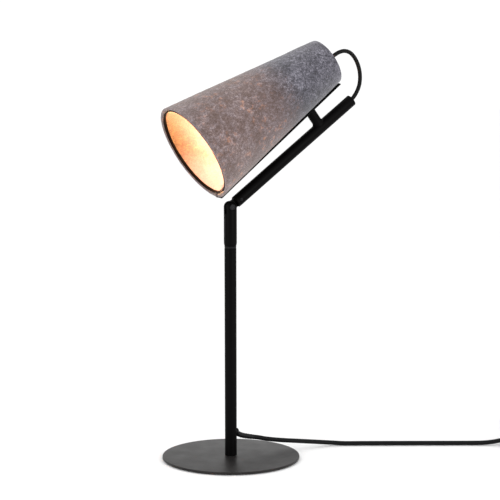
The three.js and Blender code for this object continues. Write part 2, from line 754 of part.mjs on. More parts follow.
function bulb() {
  const GLASS = 1;
  const arc = (radius, from, to, steps) =>
    Array.from({ length: steps + 1 }, (_, i) => {
      const angle = from + ((to - from) * i) / steps;
      return [radius * Math.sin(angle), BULB_CENTRE - radius * Math.cos(angle)];
    });
  const NECK_RADIUS = 8;
  const outer = arc(BULB_RADIUS, 0, 2.3, 10);
  outer[0][0] = 0;
  const inner = arc(BULB_RADIUS - GLASS, 0, 2.3, 10).reverse();
  inner[inner.length - 1][0] = 0;
  const glass = turned([
    ...outer,
    [NECK_RADIUS + 2.6, BULB_NECK - 8],
    [NECK_RADIUS, BULB_NECK],
    [NECK_RADIUS - GLASS, BULB_NECK],
    [NECK_RADIUS + 2.6 - GLASS, BULB_NECK - 8],
    ...inner,
  ], 28);
  add(shade, "bulb_glass", glass, OPAL);
  const threads = [[0, BULB_NECK + GAP], [6.9, BULB_NECK + GAP]];
  const PITCH = 2.82;
  for (let turn = 0; turn < 5; turn++) {
    const station = BULB_NECK + 4 + turn * PITCH;
    threads.push([6.4, station], [7, station + PITCH / 2]);
  }
  threads.push([6.4, 134], [4.4, 136.4], [0, 136.4]);
  add(shade, "bulb_cap", turned(threads, FINE), STEEL);
  add(shade, "bulb_contact", rod(2.4, 136.7, 140.3, SMALL), BRASS);
}

// ---------------------------------------------------------------- mains cord

const switchEnds = [SWITCH_AT - SWITCH_LENGTH / 2, SWITCH_AT + SWITCH_LENGTH / 2];

function mainsCord() {
  const landing = [new THREE.Vector3(125, -1.2, 3.75)];
  const lying = [8, 30, 70, 110, 150].map((along) => onTable(along, 0, LAY_HEIGHT));
  const rise = [
    [165, 2.95],
    [174, 3.6],
    [183, 5],
    [switchEnds[0] - GAP, SWITCH_ENTRY],
  ].map(([along, height]) => onTable(along, 0, height));
  const points = [...CORD_DROP, ...landing, ...lying, ...rise];
  add(lamp, "mains_cord", cord(points, CORD_RADIUS, 44), CABLE);
}

// From the switch round into the coil's outermost turn.
function coilLeadIn() {
  const turn = COIL_CENTRE.along + COIL_OUTER - CORD_RADIUS; // the outermost turn's far side
  const BEND = 26;
  const points = [
    onTable(switchEnds[1] + GAP, 0, SWITCH_ENTRY),
    onTable(switchEnds[1] + 5, 0, SWITCH_ENTRY - 0.6),
  ];
  for (let i = 1; i <= 6; i++) {
    const angle = (i / 6) * (Math.PI / 2);
    const height = THREE.MathUtils.lerp(SWITCH_ENTRY - 1, COIL_BOTTOM + CORD_RADIUS, i / 6);
    points.push(onTable(turn - BEND + BEND * Math.sin(angle), BEND - BEND * Math.cos(angle), height));
  }
  points.push(onTable(turn, 31, COIL_BOTTOM + CORD_RADIUS));
  add(lamp, "coil_lead_in", cord(points, CORD_RADIUS, 14), CABLE);
}

function cordCoil() {
  const ROUNDING = 2;
  const [top, bottom] = [COIL_BOTTOM + COIL_HEIGHT, COIL_BOTTOM];
  const coil = turned([
    [COIL_INNER + ROUNDING, bottom],
    [COIL_OUTER - ROUNDING, bottom],
    [COIL_OUTER, bottom + ROUNDING],
    [COIL_OUTER, top - ROUNDING],
    [COIL_OUTER - ROUNDING, top],
    [COIL_INNER + ROUNDING, top],
    [COIL_INNER, top - ROUNDING],
    [COIL_INNER, bottom + ROUNDING],
  ]);
  const centre = onTable(COIL_CENTRE.along, COIL_CENTRE.left, 0);
  add(lamp, "cord_coil", coil.translate(centre.x, centre.y, 0), CABLE);
}

// A hook-and-loop band round the coil's section, on the side away from the lead-in.
function coilTie() {
  const THICKNESS = 0.6;
  const WIDTH = 8;
  const group = new THREE.Group();
  const middle = (COIL_INNER + COIL_OUTER) / 2;
  group.position.copy(onTable(COIL_CENTRE.along - middle, COIL_CENTRE.left, 0));
  group.rotation.z = LAY_HEADING;
  const [halfIn, top] = [(COIL_OUTER - COIL_INNER) / 2 + 0.8, COIL_BOTTOM + COIL_HEIGHT + GAP];
  const halfOut = halfIn + THICKNESS;
  const band = box(-halfOut, halfOut, -WIDTH / 2, WIDTH / 2, 0.2, top + THICKNESS);
  const inside = box(-halfIn, halfIn, -WIDTH, WIDTH, 0.2 + THICKNESS, top);
  add(group, "coil_tie", cut(band, inside), CABLE);
  lamp.add(group);
}

function plugLead() {
  const turn = COIL_CENTRE.along + COIL_OUTER - CORD_RADIUS;
  const STRAIGHT = 4; // the cord leaves the plug square to its end before it bends
  const BEND = turn - PLUG.along - GAP - STRAIGHT;
  const heights = [9.6, 8.4, 7.6, 7.2, PLUG.height];
  const points = [onTable(turn, COIL_CENTRE.left + 21, 11.4)];
  heights.forEach((height, i) => {
    const angle = (i / (heights.length - 1)) * (Math.PI / 2);
    const along = PLUG.along + GAP + STRAIGHT + BEND * Math.cos(angle);
    points.push(onTable(along, PLUG.left - BEND + BEND * Math.sin(angle), height));
  });
  points.push(onTable(PLUG.along + GAP, PLUG.left, PLUG.height));
  add(lamp, "plug_lead", cord(points, CORD_RADIUS, 12), CABLE);
}

// A flat two-pin plug, lying on its side with the pins pointing back along the cord's line.
function plug() {
  const group = new THREE.Group();
  group.position.copy(onTable(PLUG.along, PLUG.left, 0));
  group.rotation.z = LAY_HEADING + Math.PI;
  lamp.add(group);
  const NECK = 6.5; // half width where the cord goes in
  const half = PLUG.width / 2;
  const outline = new THREE.Shape([
    new THREE.Vector2(0, -NECK),
    new THREE.Vector2(9, -NECK - 1),
    new THREE.Vector2(PLUG.length - 12, -half),
    new THREE.Vector2(PLUG.length, -half + 1.5),
    new THREE.Vector2(PLUG.length, half - 1.5),
    new THREE.Vector2(PLUG.length - 12, half),
    new THREE.Vector2(9, NECK + 1),
    new THREE.Vector2(0, NECK),
  ]);
  const body = new THREE.ExtrudeGeometry(outline, { depth: PLUG.thickness, bevelEnabled: false });
  body.translate(0, 0, PLUG.height - PLUG.thickness / 2);
  const sockets = [-1, 1].map((side) =>
    alongX(rod(PIN_RADIUS + GAP, PLUG.length - 5, PLUG.length + 2, SMALL)).translate(
      0, (side * PIN_SPACING) / 2, PLUG.height,
    ),
  );
  add(group, "plug_body", cut(body, ...sockets), PLASTIC);
  for (const [name, side] of [["plug_pin_left", -1], ["plug_pin_right", 1]]) {
    const pin = turned(
      [
        [0, PLUG.length - 4.7],
        [PIN_RADIUS, PLUG.length - 4.7],
        [PIN_RADIUS, PLUG.length + PIN_LENGTH - 1],
        [PIN_RADIUS - 1, PLUG.length + PIN_LENGTH],
        [0, PLUG.length + PIN_LENGTH],
      ],
      SMALL,
    );
    add(group, name, alongX(pin).translate(0, (side * PIN_SPACING) / 2, PLUG.height), STEEL);
  }
}

// ---------------------------------------------------------------- cord switch

function cordSwitch() {
  const group = new THREE.Group();
  group.position.copy(onTable(SWITCH_AT, 0, 0));
  group.rotation.z = LAY_HEADING;
  lamp.add(group);
  const WALL = 2;
  const CORNER = 9;
  const [bottom, split] = [0.3, SWITCH_ENTRY];
  const shell = (z0, z1) => roundedSlab(SWITCH_LENGTH, SWITCH_WIDTH, CORNER, z0, z1);
  const room = (z0, z1) =>
    roundedSlab(SWITCH_LENGTH - 2 * WALL, SWITCH_WIDTH - 2 * WALL, CORNER - WALL, z0, z1);
  const cordHoles = [-1, 1].map((side) => {
    const reach = SWITCH_LENGTH / 2;
    return alongX(rod(CORD_RADIUS + GAP, -5, 5, SMALL)).translate(side * reach, 0, SWITCH_ENTRY);
  });
  const SCREW_AT = 20;
  const POST_RADIUS = 3.4;
  const posts = (z0, z1) => [-1, 1].map((side) => rod(POST_RADIUS, z0, z1, SMALL).translate(side * SCREW_AT, 6, 0));
  const holes = (radius, z0, z1) => [-1, 1].map((side) => rod(radius, z0, z1, SMALL).translate(side * SCREW_AT, 6, 0));

  const floorPan = cut(shell(bottom, split - GAP / 2), room(bottom + WALL, split + 1));
  const base = cut(
    join(floorPan, ...posts(bottom + 1, split - GAP / 2)),
    ...cordHoles, ...holes(1.8, bottom - 1, split + 1), ...holes(3, bottom - 1, bottom + 2),
  );
  add(group, "switch_base", base, PLASTIC);

  const lid = cut(shell(split + GAP / 2, SWITCH_TOP), room(split - 1, SWITCH_TOP - WALL));
  const rockerWindow = box(-10, 10, -5.4, 5.4, SWITCH_TOP - WALL - 1, SWITCH_TOP + 1);
  const cover = cut(
    join(lid, ...posts(split + GAP / 2, SWITCH_TOP - 1)),
    ...cordHoles, ...holes(1.8, split - 1, SWITCH_TOP - WALL), rockerWindow,
  );
  add(group, "switch_cover", cover, PLASTIC);

  for (const [name, side] of [["switch_screw_in", -1], ["switch_screw_out", 1]]) {
    const screw = turned(
      [[0, 0.6], [2.6, 0.6], [2.6, 1.9], [1.4, 1.9], [1.4, 12], [0, 12]],
      SMALL,
    );
    add(group, name, screw.translate(side * SCREW_AT, 6, 0), STEEL);
  }

  const blockFloor = bottom + WALL + GAP;
  add(group, "switch_contacts", box(-8, 8, -5, 5, blockFloor, ROCKER_PIVOT - 5.2), BRASS);
  rocker(group);
}

// A see-saw button: two flat halves that meet in a shallow valley over the pivot.
function rocker(group) {
  const HALF_LENGTH = 9;
  const HALF_WIDTH = 5;
  const outline = new THREE.Shape([
    new THREE.Vector2(-HALF_LENGTH, 5.9),
    new THREE.Vector2(-HALF_LENGTH + 1, 1.5),
    new THREE.Vector2(-3, -3.5),
    new THREE.Vector2(3, -3.5),
    new THREE.Vector2(HALF_LENGTH - 1, 1.5),
    new THREE.Vector2(HALF_LENGTH, 5.9),
    new THREE.Vector2(0, 4.6),
  ]);
  const body = new THREE.ExtrudeGeometry(outline, { depth: 2 * HALF_WIDTH, bevelEnabled: false });
  body.translate(0, 0, -HALF_WIDTH).rotateX(Math.PI / 2);
  const mesh = new THREE.Mesh(body, PLASTIC);
  mesh.name = "switch_rocker";
  mesh.position.z = ROCKER_PIVOT;
  mesh.rotation.y = ROCKER_TILT;
  group.add(mesh);
}

// ---------------------------------------------------------------- assembly

basePad();
basePlate();
baseBolt();
poleFoot();
poleTube();
strainRelief();
poleCable();

swivelSpigot();
swivelWasher();
swivelSleeve();
sleeveSetScrew();

hingeScrew();
hingeNut();
hingeWashers();
hingeTongue();
knuckleLeads();

armTube();
armGrubScrew();
armEndBush();
lampCable();
shadeStub();

feltShade();
seamStrips();
stripScrews();
mouthHoop();

holderBracket();
holderFittings();
lampholder();
bulb();

mainsCord();
coilLeadIn();
cordCoil();
coilTie();
plugLead();
plug();
cordSwitch();

export default lamp;
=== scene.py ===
import json
import math
import random

import bmesh
import bpy
from mathutils import Matrix, Vector, noise


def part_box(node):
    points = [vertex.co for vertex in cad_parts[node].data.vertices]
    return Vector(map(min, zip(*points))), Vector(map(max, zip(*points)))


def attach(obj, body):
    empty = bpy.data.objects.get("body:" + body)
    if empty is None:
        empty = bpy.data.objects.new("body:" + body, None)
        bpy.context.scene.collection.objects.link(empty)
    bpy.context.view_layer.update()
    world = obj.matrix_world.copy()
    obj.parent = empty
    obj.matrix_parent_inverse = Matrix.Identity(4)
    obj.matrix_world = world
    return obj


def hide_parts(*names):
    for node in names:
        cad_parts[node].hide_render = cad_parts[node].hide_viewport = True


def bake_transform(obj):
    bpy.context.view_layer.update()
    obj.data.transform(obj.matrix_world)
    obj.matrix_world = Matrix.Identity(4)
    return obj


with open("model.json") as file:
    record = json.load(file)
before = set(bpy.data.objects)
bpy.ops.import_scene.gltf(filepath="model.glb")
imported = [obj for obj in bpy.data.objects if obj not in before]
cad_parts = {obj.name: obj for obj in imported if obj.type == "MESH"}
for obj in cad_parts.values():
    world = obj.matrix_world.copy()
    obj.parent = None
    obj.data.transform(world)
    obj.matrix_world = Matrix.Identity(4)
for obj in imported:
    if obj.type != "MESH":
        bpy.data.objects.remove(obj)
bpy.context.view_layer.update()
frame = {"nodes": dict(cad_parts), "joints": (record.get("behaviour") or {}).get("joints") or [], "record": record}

# Desk lamp with a felt cone shade. Piece dimensions are in millimetres in each piece's own frame, and a
# frame is the matrix that carries them to metres in the CAD's frame.

MM = 0.001
UP = Vector((0, 0, 1))
LEFT = Vector((0, 1, 0))

# ---------------------------------------------------------------- driving dimensions

TUBE_RADIUS = 6.5
TUBE_BORE = 5.5
SLEEVE_RADIUS = 7.05
SLOT_HALF_WIDTH = 3.4
HINGE_HOLE = 2.3
STUB_AT = 138
STUB_RADIUS = 5.5
MOUTH_RADIUS = 55.7
BACK_RADIUS = 26.6
SHADE_LENGTH = 185.6
FELT = 3
SEAM_GAP = 3
PINCH = 0.9
PINCH_REACH = math.radians(40)
HOOP_RECESS = 0.4
HOOP_HEIGHT = 3.4
BULB_CENTRE = 84.5
BULB_RADIUS = 22.5
BULB_STRENGTH = 98.0
CORD_RADIUS = 2.5
CORD_EXIT_HEIGHT = 29
LAMP_CABLE_RADIUS = 2.25
TAPER = math.atan2(MOUTH_RADIUS - BACK_RADIUS, SHADE_LENGTH)
SEAM_LENGTH = SHADE_LENGTH / math.cos(TAPER)
STRIP_SCREWS = {"front": (24, 0), "middle": (90, 0), "back": (160, 1.8)}

# ---------------------------------------------------------------- frames


def joint(name):
    return next(j for j in frame["joints"] if j["name"] == name)


def middle(*nodes):
    corners = [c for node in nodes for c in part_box(node)]
    low = Vector(map(min, *corners))
    high = Vector(map(max, *corners))
    return (low + high) / 2


def axes(origin, x, z):
    """A frame in millimetres: its origin in metres, its X and Z directions in the CAD's."""
    x, z = x.normalized(), z.normalized()
    turn = Matrix((x, z.cross(x), z)).transposed().to_4x4()
    return Matrix.Translation(origin) @ turn @ Matrix.Scale(MM, 4)


def moved(place, x=0.0, y=0.0, z=0.0):
    return place @ Matrix.Translation((x, y, z))


PIVOT = Vector(joint("arm_tilt")["pos_m"])
ARM_WAY = (middle("arm_end_bush") - PIVOT).normalized()
TO_SHADE = ARM_WAY.cross(LEFT)
SHADE_WAY = (middle("holder_nipple") - middle("mouth_hoop")).normalized()
TO_SEAM = LEFT.cross(SHADE_WAY)
SEAM_WAY = SHADE_WAY * math.cos(TAPER) - TO_SEAM * math.sin(TAPER)
SEAM_OUT = TO_SEAM * math.cos(TAPER) + SHADE_WAY * math.sin(TAPER)
MOUTH = middle("mouth_hoop") - SHADE_WAY * (HOOP_RECESS + HOOP_HEIGHT / 2) * MM
CORD_LEFT = Vector(joint("switch_rocker")["axis"]).normalized()
CORD_WAY = CORD_LEFT.cross(UP)

WORLD = Matrix.Scale(MM, 4)
ARM = axes(PIVOT, TO_SHADE, ARM_WAY)
HINGE = axes(PIVOT, UP, LEFT)
STUB = axes(PIVOT + ARM_WAY * STUB_AT * MM, ARM_WAY, TO_SHADE)
SHADE = axes(MOUTH, TO_SEAM, SHADE_WAY)
SEAM = axes(MOUTH + TO_SEAM * MOUTH_RADIUS * MM, SEAM_OUT, SEAM_WAY)
SEAM_ROD = axes(MOUTH + TO_SEAM * MOUTH_RADIUS * MM, SEAM_WAY, SEAM_OUT)
SWITCH_CENTRE = middle("switch_base")
SWITCH = axes(Vector((SWITCH_CENTRE.x, SWITCH_CENTRE.y, 0)), CORD_WAY, UP)
PINS = middle("plug_pin_left", "plug_pin_right")
PLUG = axes(PINS + CORD_WAY * 43.15 * MM, -CORD_WAY, UP)
PLUG_BASE = moved(PLUG, z=-PINS.z / MM)
PLUG_ROD = PLUG @ Matrix.Rotation(math.pi / 2, 4, "Y")

# ---------------------------------------------------------------- materials


class Look:
    """A procedural material: one Principled shader and the nodes that drive it, in object coordinates."""

    def __init__(self, name, **sockets):
        self.material = bpy.data.materials.new(name)
        self.material.use_nodes = True
        self.tree = self.material.node_tree
        self.shader = self.tree.nodes["Principled BSDF"]
        self.place = self.node("ShaderNodeTexCoord").outputs["Object"]
        for socket, value in sockets.items():
            self.shader.inputs[socket.replace("_", " ").title().replace("Ior", "IOR")].default_value = value

    def node(self, kind, **settings):
        made = self.tree.nodes.new(kind)
        for key, value in settings.items():
            setattr(made, key, value)
        return made

    def link(self, source, target):
        self.tree.links.new(source, target)
        return target

    def noise(self, size, detail=3.0, distortion=0.0, roughness=0.55, place=None):
        """Noise whose blotches are about size metres across."""
        made = self.node("ShaderNodeTexNoise")
        made.inputs["Scale"].default_value = 1 / size
        made.inputs["Detail"].default_value = detail
        made.inputs["Roughness"].default_value = roughness
        made.inputs["Distortion"].default_value = distortion
        self.link(place or self.place, made.inputs["Vector"])
        return made.outputs["Fac"]

    def cells(self, size):
        made = self.node("ShaderNodeTexVoronoi")
        made.inputs["Scale"].default_value = 1 / size
        self.link(self.place, made.inputs["Vector"])
        return made.outputs["Distance"]

    def stretched(self, scale):
        """Object coordinates scaled along each axis, for grain that runs one way."""
        made = self.node("ShaderNodeMapping")
        made.inputs["Scale"].default_value = scale
        self.link(self.place, made.inputs["Vector"])
        return made.outputs["Vector"]

    def ramp(self, value, *stops):
        """Colour or grey along value: each stop is (position, colour or number)."""
        made = self.node("ShaderNodeValToRGB")
        elements = made.color_ramp.elements
        while len(elements) < len(stops):
            elements.new(0.5)
        for element, (position, colour) in zip(elements, stops):
            element.position = position
            grey = not hasattr(colour, "__len__")
            element.color = (colour,) * 3 + (1,) if grey else (*colour, 1)
        self.link(value, made.inputs["Fac"])
        return made.outputs["Color"]

    def math(self, operation, a, b=0.0):
        made = self.node("ShaderNodeMath", operation=operation)
        for socket, value in zip(made.inputs, (a, b)):
            if isinstance(value, (int, float)):
                socket.default_value = value
            else:
                self.link(value, socket)
        return made.outputs[0]

    def weighted(self, *layers):
        """The sum of (value, weight) layers."""
        total = 0.0
        for value, weight in layers:
            total = self.math("ADD", total, self.math("MULTIPLY", value, weight))
        return total

    def mix(self, factor, a, b):
        made = self.node("ShaderNodeMix", data_type="RGBA")
        for socket, value in zip((made.inputs[0], made.inputs[6], made.inputs[7]), (factor, a, b)):
            if hasattr(value, "is_output"):
                self.link(value, socket)
            else:
                socket.default_value = (*value, 1) if hasattr(value, "__len__") else value
        return made.outputs[2]

    def near(self, centre, close, far):
        """1 within close metres of centre, falling to 0 at far metres."""
        gap = self.node("ShaderNodeVectorMath", operation="DISTANCE")
        self.link(self.place, gap.inputs[0])
        gap.inputs[1].default_value = centre
        fall = self.node("ShaderNodeMapRange", interpolation_type="SMOOTHSTEP")
        self.link(gap.outputs["Value"], fall.inputs["Value"])
        for socket, value in (("From Min", close), ("From Max", far), ("To Min", 1), ("To Max", 0)):
            fall.inputs[socket].default_value = value
        return fall.outputs["Result"]

    def bump(self, height, strength, depth):
        made = self.node("ShaderNodeBump")
        made.inputs["Strength"].default_value = strength
        made.inputs["Distance"].default_value = depth
        self.link(height, made.inputs["Height"])
        normal = self.shader.inputs["Normal"]
        if normal.links:
            self.link(normal.links[0].from_socket, made.inputs["Normal"])
        self.link(made.outputs["Normal"], normal)

    def give(self, **sources):
        for socket, source in sources.items():
            self.link(source, self.shader.inputs[socket.replace("_", " ").title()])


def paint(name, colour, roughness, gloss):
    """Fine-textured powder coat: an orange-peel skin, dust in it, and rubbed patches."""
    look = Look(name, specular_ior_level=gloss)
    grains = look.noise(0.00035, 2)
    patches = look.noise(0.02, 4)
    worn = look.ramp(patches, (0.3, 0.0), (0.7, 1.0))
    shade = look.mix(worn, [0.8 * c for c in colour], [1.2 * c for c in colour])
    dust = look.ramp(look.noise(0.0007, 3), (0.68, 0.0), (0.8, 0.35))
    look.give(base_color=look.mix(dust, shade, [c + 0.02 for c in colour]))
    look.give(roughness=look.ramp(patches, (0.25, roughness - 0.05), (0.75, roughness + 0.06)))
    look.bump(grains, 0.25, 0.00006)
    look.bump(look.noise(0.0015, 2), 0.12, 0.0001)
    return look.material


def plastic(name, colour, roughness, grain=0.0004, gloss=0.16):
    """Moulded plastic with a spark-eroded skin."""
    look = Look(name, specular_ior_level=gloss)
    cloud = look.noise(0.012, 3)
    look.give(base_color=look.mix(cloud, [0.75 * c for c in colour], [1.25 * c for c in colour]))
    look.give(roughness=look.ramp(look.noise(0.004, 4), (0.3, roughness - 0.06), (0.7, roughness + 0.08)))
    look.bump(look.cells(grain), 0.3, 0.00005)
    look.bump(look.noise(0.0002, 2), 0.2, 0.00003)
    return look.material


def metal(name, colour, roughness, grain=(900, 900, 120)):
    """Turned or plated metal with fine drawing lines and a few dull spots."""
    look = Look(name, metallic=1.0)
    lines = look.noise(1.0, 4, place=look.stretched(grain))
    spots = look.ramp(look.noise(0.002, 5), (0.55, 0.0), (0.7, 1.0))
    look.give(base_color=look.mix(spots, colour, [0.72 * c for c in colour]))
    look.give(roughness=look.ramp(lines, (0.3, roughness - 0.08), (0.7, roughness + 0.14)))
    look.bump(lines, 0.12, 0.00003)
    return look.material


def cable(name, colour, roughness=0.48, gloss=0.1):
    """Extruded sheath: faint drag lines, a matt bloom and handling dust."""
    look = Look(name, specular_ior_level=gloss)
    bloom = look.noise(0.006, 4)
    look.give(base_color=look.mix(bloom, [0.7 * c for c in colour], [1.5 * c for c in colour]))
    look.give(roughness=look.ramp(look.noise(0.0015, 3), (0.3, roughness - 0.08), (0.7, roughness + 0.1)))
    look.bump(look.noise(0.00045, 3), 0.25, 0.00005)
    return look.material


def rubber_foam(name):
    look = Look(name, specular_ior_level=0.25)
    pores = look.cells(0.0007)
    look.give(base_color=look.ramp(pores, (0.05, (0.006, 0.006, 0.006)), (0.5, (0.035, 0.034, 0.033))))
    look.give(roughness=look.ramp(look.noise(0.003), (0.3, 0.85), (0.7, 0.98)))
    look.bump(pores, 0.8, 0.0002)
    return look.material


def woven(name, colour):
    """Hook-and-loop band: short loops over a twill ground."""
    look = Look(name, specular_ior_level=0.2, sheen_weight=0.3, sheen_roughness=0.5)
    wave = look.node("ShaderNodeTexWave", wave_type="BANDS", bands_direction="DIAGONAL")
    wave.inputs["Scale"].default_value = 420
    wave.inputs["Distortion"].default_value = 2.5
    look.link(look.place, wave.inputs["Vector"])
    look.give(base_color=look.mix(wave.outputs["Fac"], [0.4 * c for c in colour], [1.6 * c for c in colour]))
    look.give(roughness=look.ramp(look.noise(0.001), (0.3, 0.75), (0.7, 0.95)))
    look.bump(wave.outputs["Fac"], 0.7, 0.0002)
    look.bump(look.noise(0.0004, 3), 0.5, 0.0001)
    return look.material


def opal_glass(name):
    """Lit opal glass: brightest in front of the filament, a little cloudy."""
    look = Look(name, roughness=0.25, emission_strength=BULB_STRENGTH)
    cloud = look.noise(0.008, 3)
    look.give(base_color=look.mix(cloud, (0.95, 0.9, 0.8), (1.0, 0.96, 0.9)))
    centre = MOUTH + SHADE_WAY * (BULB_CENTRE - 12) * MM
    core = look.near(centre, 0.008, 0.04)
    core = look.weighted((core, 0.8), (cloud, 0.2))
    look.give(emission_color=look.mix(core, (1.0, 0.50, 0.17), (1.0, 0.62, 0.28)))
    look.bump(cloud, 0.05, 0.0002)
    return look.material


def grey_felt(name):
    """Thick wool felt: a melange of light and dark fibres matted into knots, with painted lamp light:
    turned warm with a painted glow over the front where the lamp shines through, and painted pale on the inner
    face as if lit."""
    look = Look(name, roughness=0.97, specular_ior_level=0.08, sheen_weight=0.35, sheen_roughness=0.6,
                emission_strength=1.0)
    fibres = look.noise(0.0010, 4, distortion=0.5, roughness=0.75)
    flecks = look.noise(0.0024, 4, roughness=0.7)
    knots = look.noise(0.0075, 4, distortion=0.2)
    clouds = look.noise(0.022, 3)
    tone = look.weighted((fibres, 0.36), (flecks, 0.36), (knots, 0.16), (clouds, 0.12))
    # painted lamp light: a sphere in front of the bulb where the felt is turned warmer and given a painted glow
    painted_lamp_glow = look.near(MOUTH + SHADE_WAY * (BULB_CENTRE - 46) * MM, 0.060, 0.100)
    inside = look.node("ShaderNodeAttribute", attribute_name="inside").outputs["Fac"]
    look.give(base_color=look.mix(inside, felt_outside(look, tone, knots, painted_lamp_glow), felt_lining(look, tone)))
    look.give(emission_color=felt_glow(look, fibres, painted_lamp_glow))
    look.bump(fibres, 0.75, 0.0005)
    look.bump(flecks, 0.6, 0.0006)
    look.bump(knots, 0.35, 0.0008)
    return look.material


def felt_outside(look, tone, knots, painted_lamp_glow):
    """Blue-grey wool, turned browner near the bulb by painted lamp light, and darker beside the seam as painted
    shade.
    """
    wool = look.ramp(
        tone,
        (0.42, (0.018, 0.016, 0.022)),
        (0.475, (0.056, 0.053, 0.069)),
        (0.525, (0.112, 0.106, 0.132)),
        (0.60, (0.290, 0.278, 0.325)),
    )
    # painted lamp light: where the lamp shines through, the wool is turned browner, varied by the knots
    painted_glow_tint = look.mix(look.ramp(knots, (0.4, 0.0), (0.6, 1.0)), (0.84, 0.70, 0.59), (0.92, 0.84, 0.77))
    # painted shade: the felt is darker beside the seam
    painted_seam_shade = look.near(SEAM @ Vector((0, 0, 95)), 0.030, 0.085)
    painted_light_tint = look.mix(painted_seam_shade, look.mix(painted_lamp_glow, (1.0, 1.0, 1.0), painted_glow_tint), (0.52, 0.52, 0.54))
    # the wool colour multiplied by the painted lamp light and the painted shade
    wool_in_painted_light = look.node("ShaderNodeMix", data_type="RGBA", blend_type="MULTIPLY")
    wool_in_painted_light.inputs[0].default_value = 1.0
    look.link(wool, wool_in_painted_light.inputs[6])
    look.link(painted_light_tint, wool_in_painted_light.inputs[7])
    return wool_in_painted_light.outputs[2]


def felt_lining(look, tone):
    """The inner face in painted lamp light: dim gold at the mouth, and paler next to the bulb and along the seam.
    """
    painted_dim_lining = look.ramp(tone, (0.42, (0.082, 0.038, 0.009)), (0.58, (0.215, 0.118, 0.036)))
    painted_bright_lining = look.ramp(tone, (0.40, (0.31, 0.21, 0.24)), (0.60, (0.42, 0.31, 0.36)))
    # painted lamp light: the inner face is paler near the bulb and by the seam
    painted_light_near_bulb = look.near(MOUTH + SHADE_WAY * 70 * MM, 0.050, 0.084)
    painted_light_by_seam = look.near(SEAM @ Vector((0, 0, 22)), 0.030, 0.082)
    return look.mix(look.math("MAXIMUM", painted_light_near_bulb, painted_light_by_seam), painted_dim_lining, painted_bright_lining)


def felt_glow(look, fibres, painted_lamp_glow):
    """Painted light coming through the felt, as emission: an even warm haze, and orange specks where the wool is
    thin.
    """
    thin = look.ramp(look.noise(0.0060, 5, roughness=0.68), (0.52, 0.0), (0.73, 1.0))
    patches = look.ramp(look.noise(0.03, 2), (0.40, 0.0), (0.60, 1.0))
    specks = look.math("MULTIPLY", look.math("MULTIPLY", thin, patches), painted_lamp_glow)
    haze = look.math("MULTIPLY", painted_lamp_glow, look.ramp(fibres, (0.3, 0.6), (0.7, 1.0)))
    shine = look.mix(haze, (0, 0, 0), (0.120, 0.064, 0.044))
    return look.mix(specks, shine, (0.55, 0.215, 0.08))


LOOKS = {
    "foam_pad": rubber_foam("foam_pad"),
    # base_paint is the same black powder coat as black_paint, given a lighter colour as painted reflection of the
    # bright studio on the flat top of the base
    "base_paint": paint("base_paint", (0.015, 0.0135, 0.013), 0.4, 0.18),
    "black_paint": paint("black_paint", (0.0022, 0.0020, 0.0021), 0.4, 0.035),
    "zinc_steel": metal("zinc_steel", (0.55, 0.56, 0.58), 0.32),
    "black_steel": metal("black_steel", (0.016, 0.016, 0.017), 0.38),
    "black_nylon": plastic("black_nylon", (0.009, 0.009, 0.0095), 0.5),
    "black_plastic": plastic("black_plastic", (0.0065, 0.0065, 0.007), 0.42),
    "rocker_plastic": plastic("rocker_plastic", (0.009, 0.009, 0.0095), 0.28, 0.0003, 0.4),
    "black_cable": cable("black_cable", (0.0042, 0.0042, 0.0045)),
    "lead_brown": cable("lead_brown", (0.12, 0.045, 0.02), 0.4, 0.4),
    "lead_blue": cable("lead_blue", (0.02, 0.08, 0.35), 0.4, 0.4),
    "grey_felt": grey_felt("grey_felt"),
    "tie_fabric": woven("tie_fabric", (0.02, 0.02, 0.021)),
    "brass": metal("brass", (0.78, 0.58, 0.24), 0.28),
    "nickel_cap": metal("nickel_cap", (0.7, 0.68, 0.64), 0.22, (400, 400, 400)),
    "pin_nickel": metal("pin_nickel", (0.72, 0.7, 0.66), 0.18),
    "opal_glass": opal_glass("opal_glass"),
}

# ---------------------------------------------------------------- geometry

SHARP = 38  # degrees: edges flatter than this are shaded smooth


def piece(name, points, faces, place, slot, body, *nodes, sharp=SHARP):
    """A closed mesh from points in millimetres, riding on a body and standing for CAD nodes."""
    mesh = bpy.data.meshes.new(name)
    mesh.from_pydata([place @ Vector(p) for p in points], [], faces)
    obj = bpy.data.objects.new(name, mesh)
    bpy.context.scene.collection.objects.link(obj)
    tidy(obj, sharp)
    return settle(obj, slot, body, *nodes)


def tidy(obj, sharp):
    """Welds, turns the faces outwards, and shades smooth except at edges sharper than sharp degrees."""
    work = bmesh.new()
    work.from_mesh(obj.data)
    bmesh.ops.remove_doubles(work, verts=work.verts, dist=1e-7)
    bmesh.ops.recalc_face_normals(work, faces=work.faces)
    work.to_mesh(obj.data)
    work.free()
    obj.data.shade_smooth()
    obj.data.set_sharp_from_angle(angle=math.radians(sharp))


def settle(obj, slot, body, *nodes):
    obj.data.materials.clear()
    obj.data.materials.append(LOOKS[slot])
    if body:
        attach(obj, body)
    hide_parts(*nodes)
    return obj


def bake(obj):
    """Applies the modifiers of obj to its mesh."""
    evaluated = obj.evaluated_get(bpy.context.evaluated_depsgraph_get())
    finished = bpy.data.meshes.new_from_object(evaluated)
    obj.modifiers.clear()
    obj.data = finished


def carve(obj, *tools):
    """Cuts the tools out of obj and throws them away."""
    for tool in tools:
        cut = obj.modifiers.new("cut", "BOOLEAN")
        cut.operation = "DIFFERENCE"
        cut.solver = "EXACT"
        cut.object = tool
    bake(obj)
    for tool in tools:
        bpy.data.objects.remove(tool)
    tidy(obj, SHARP)
    return obj


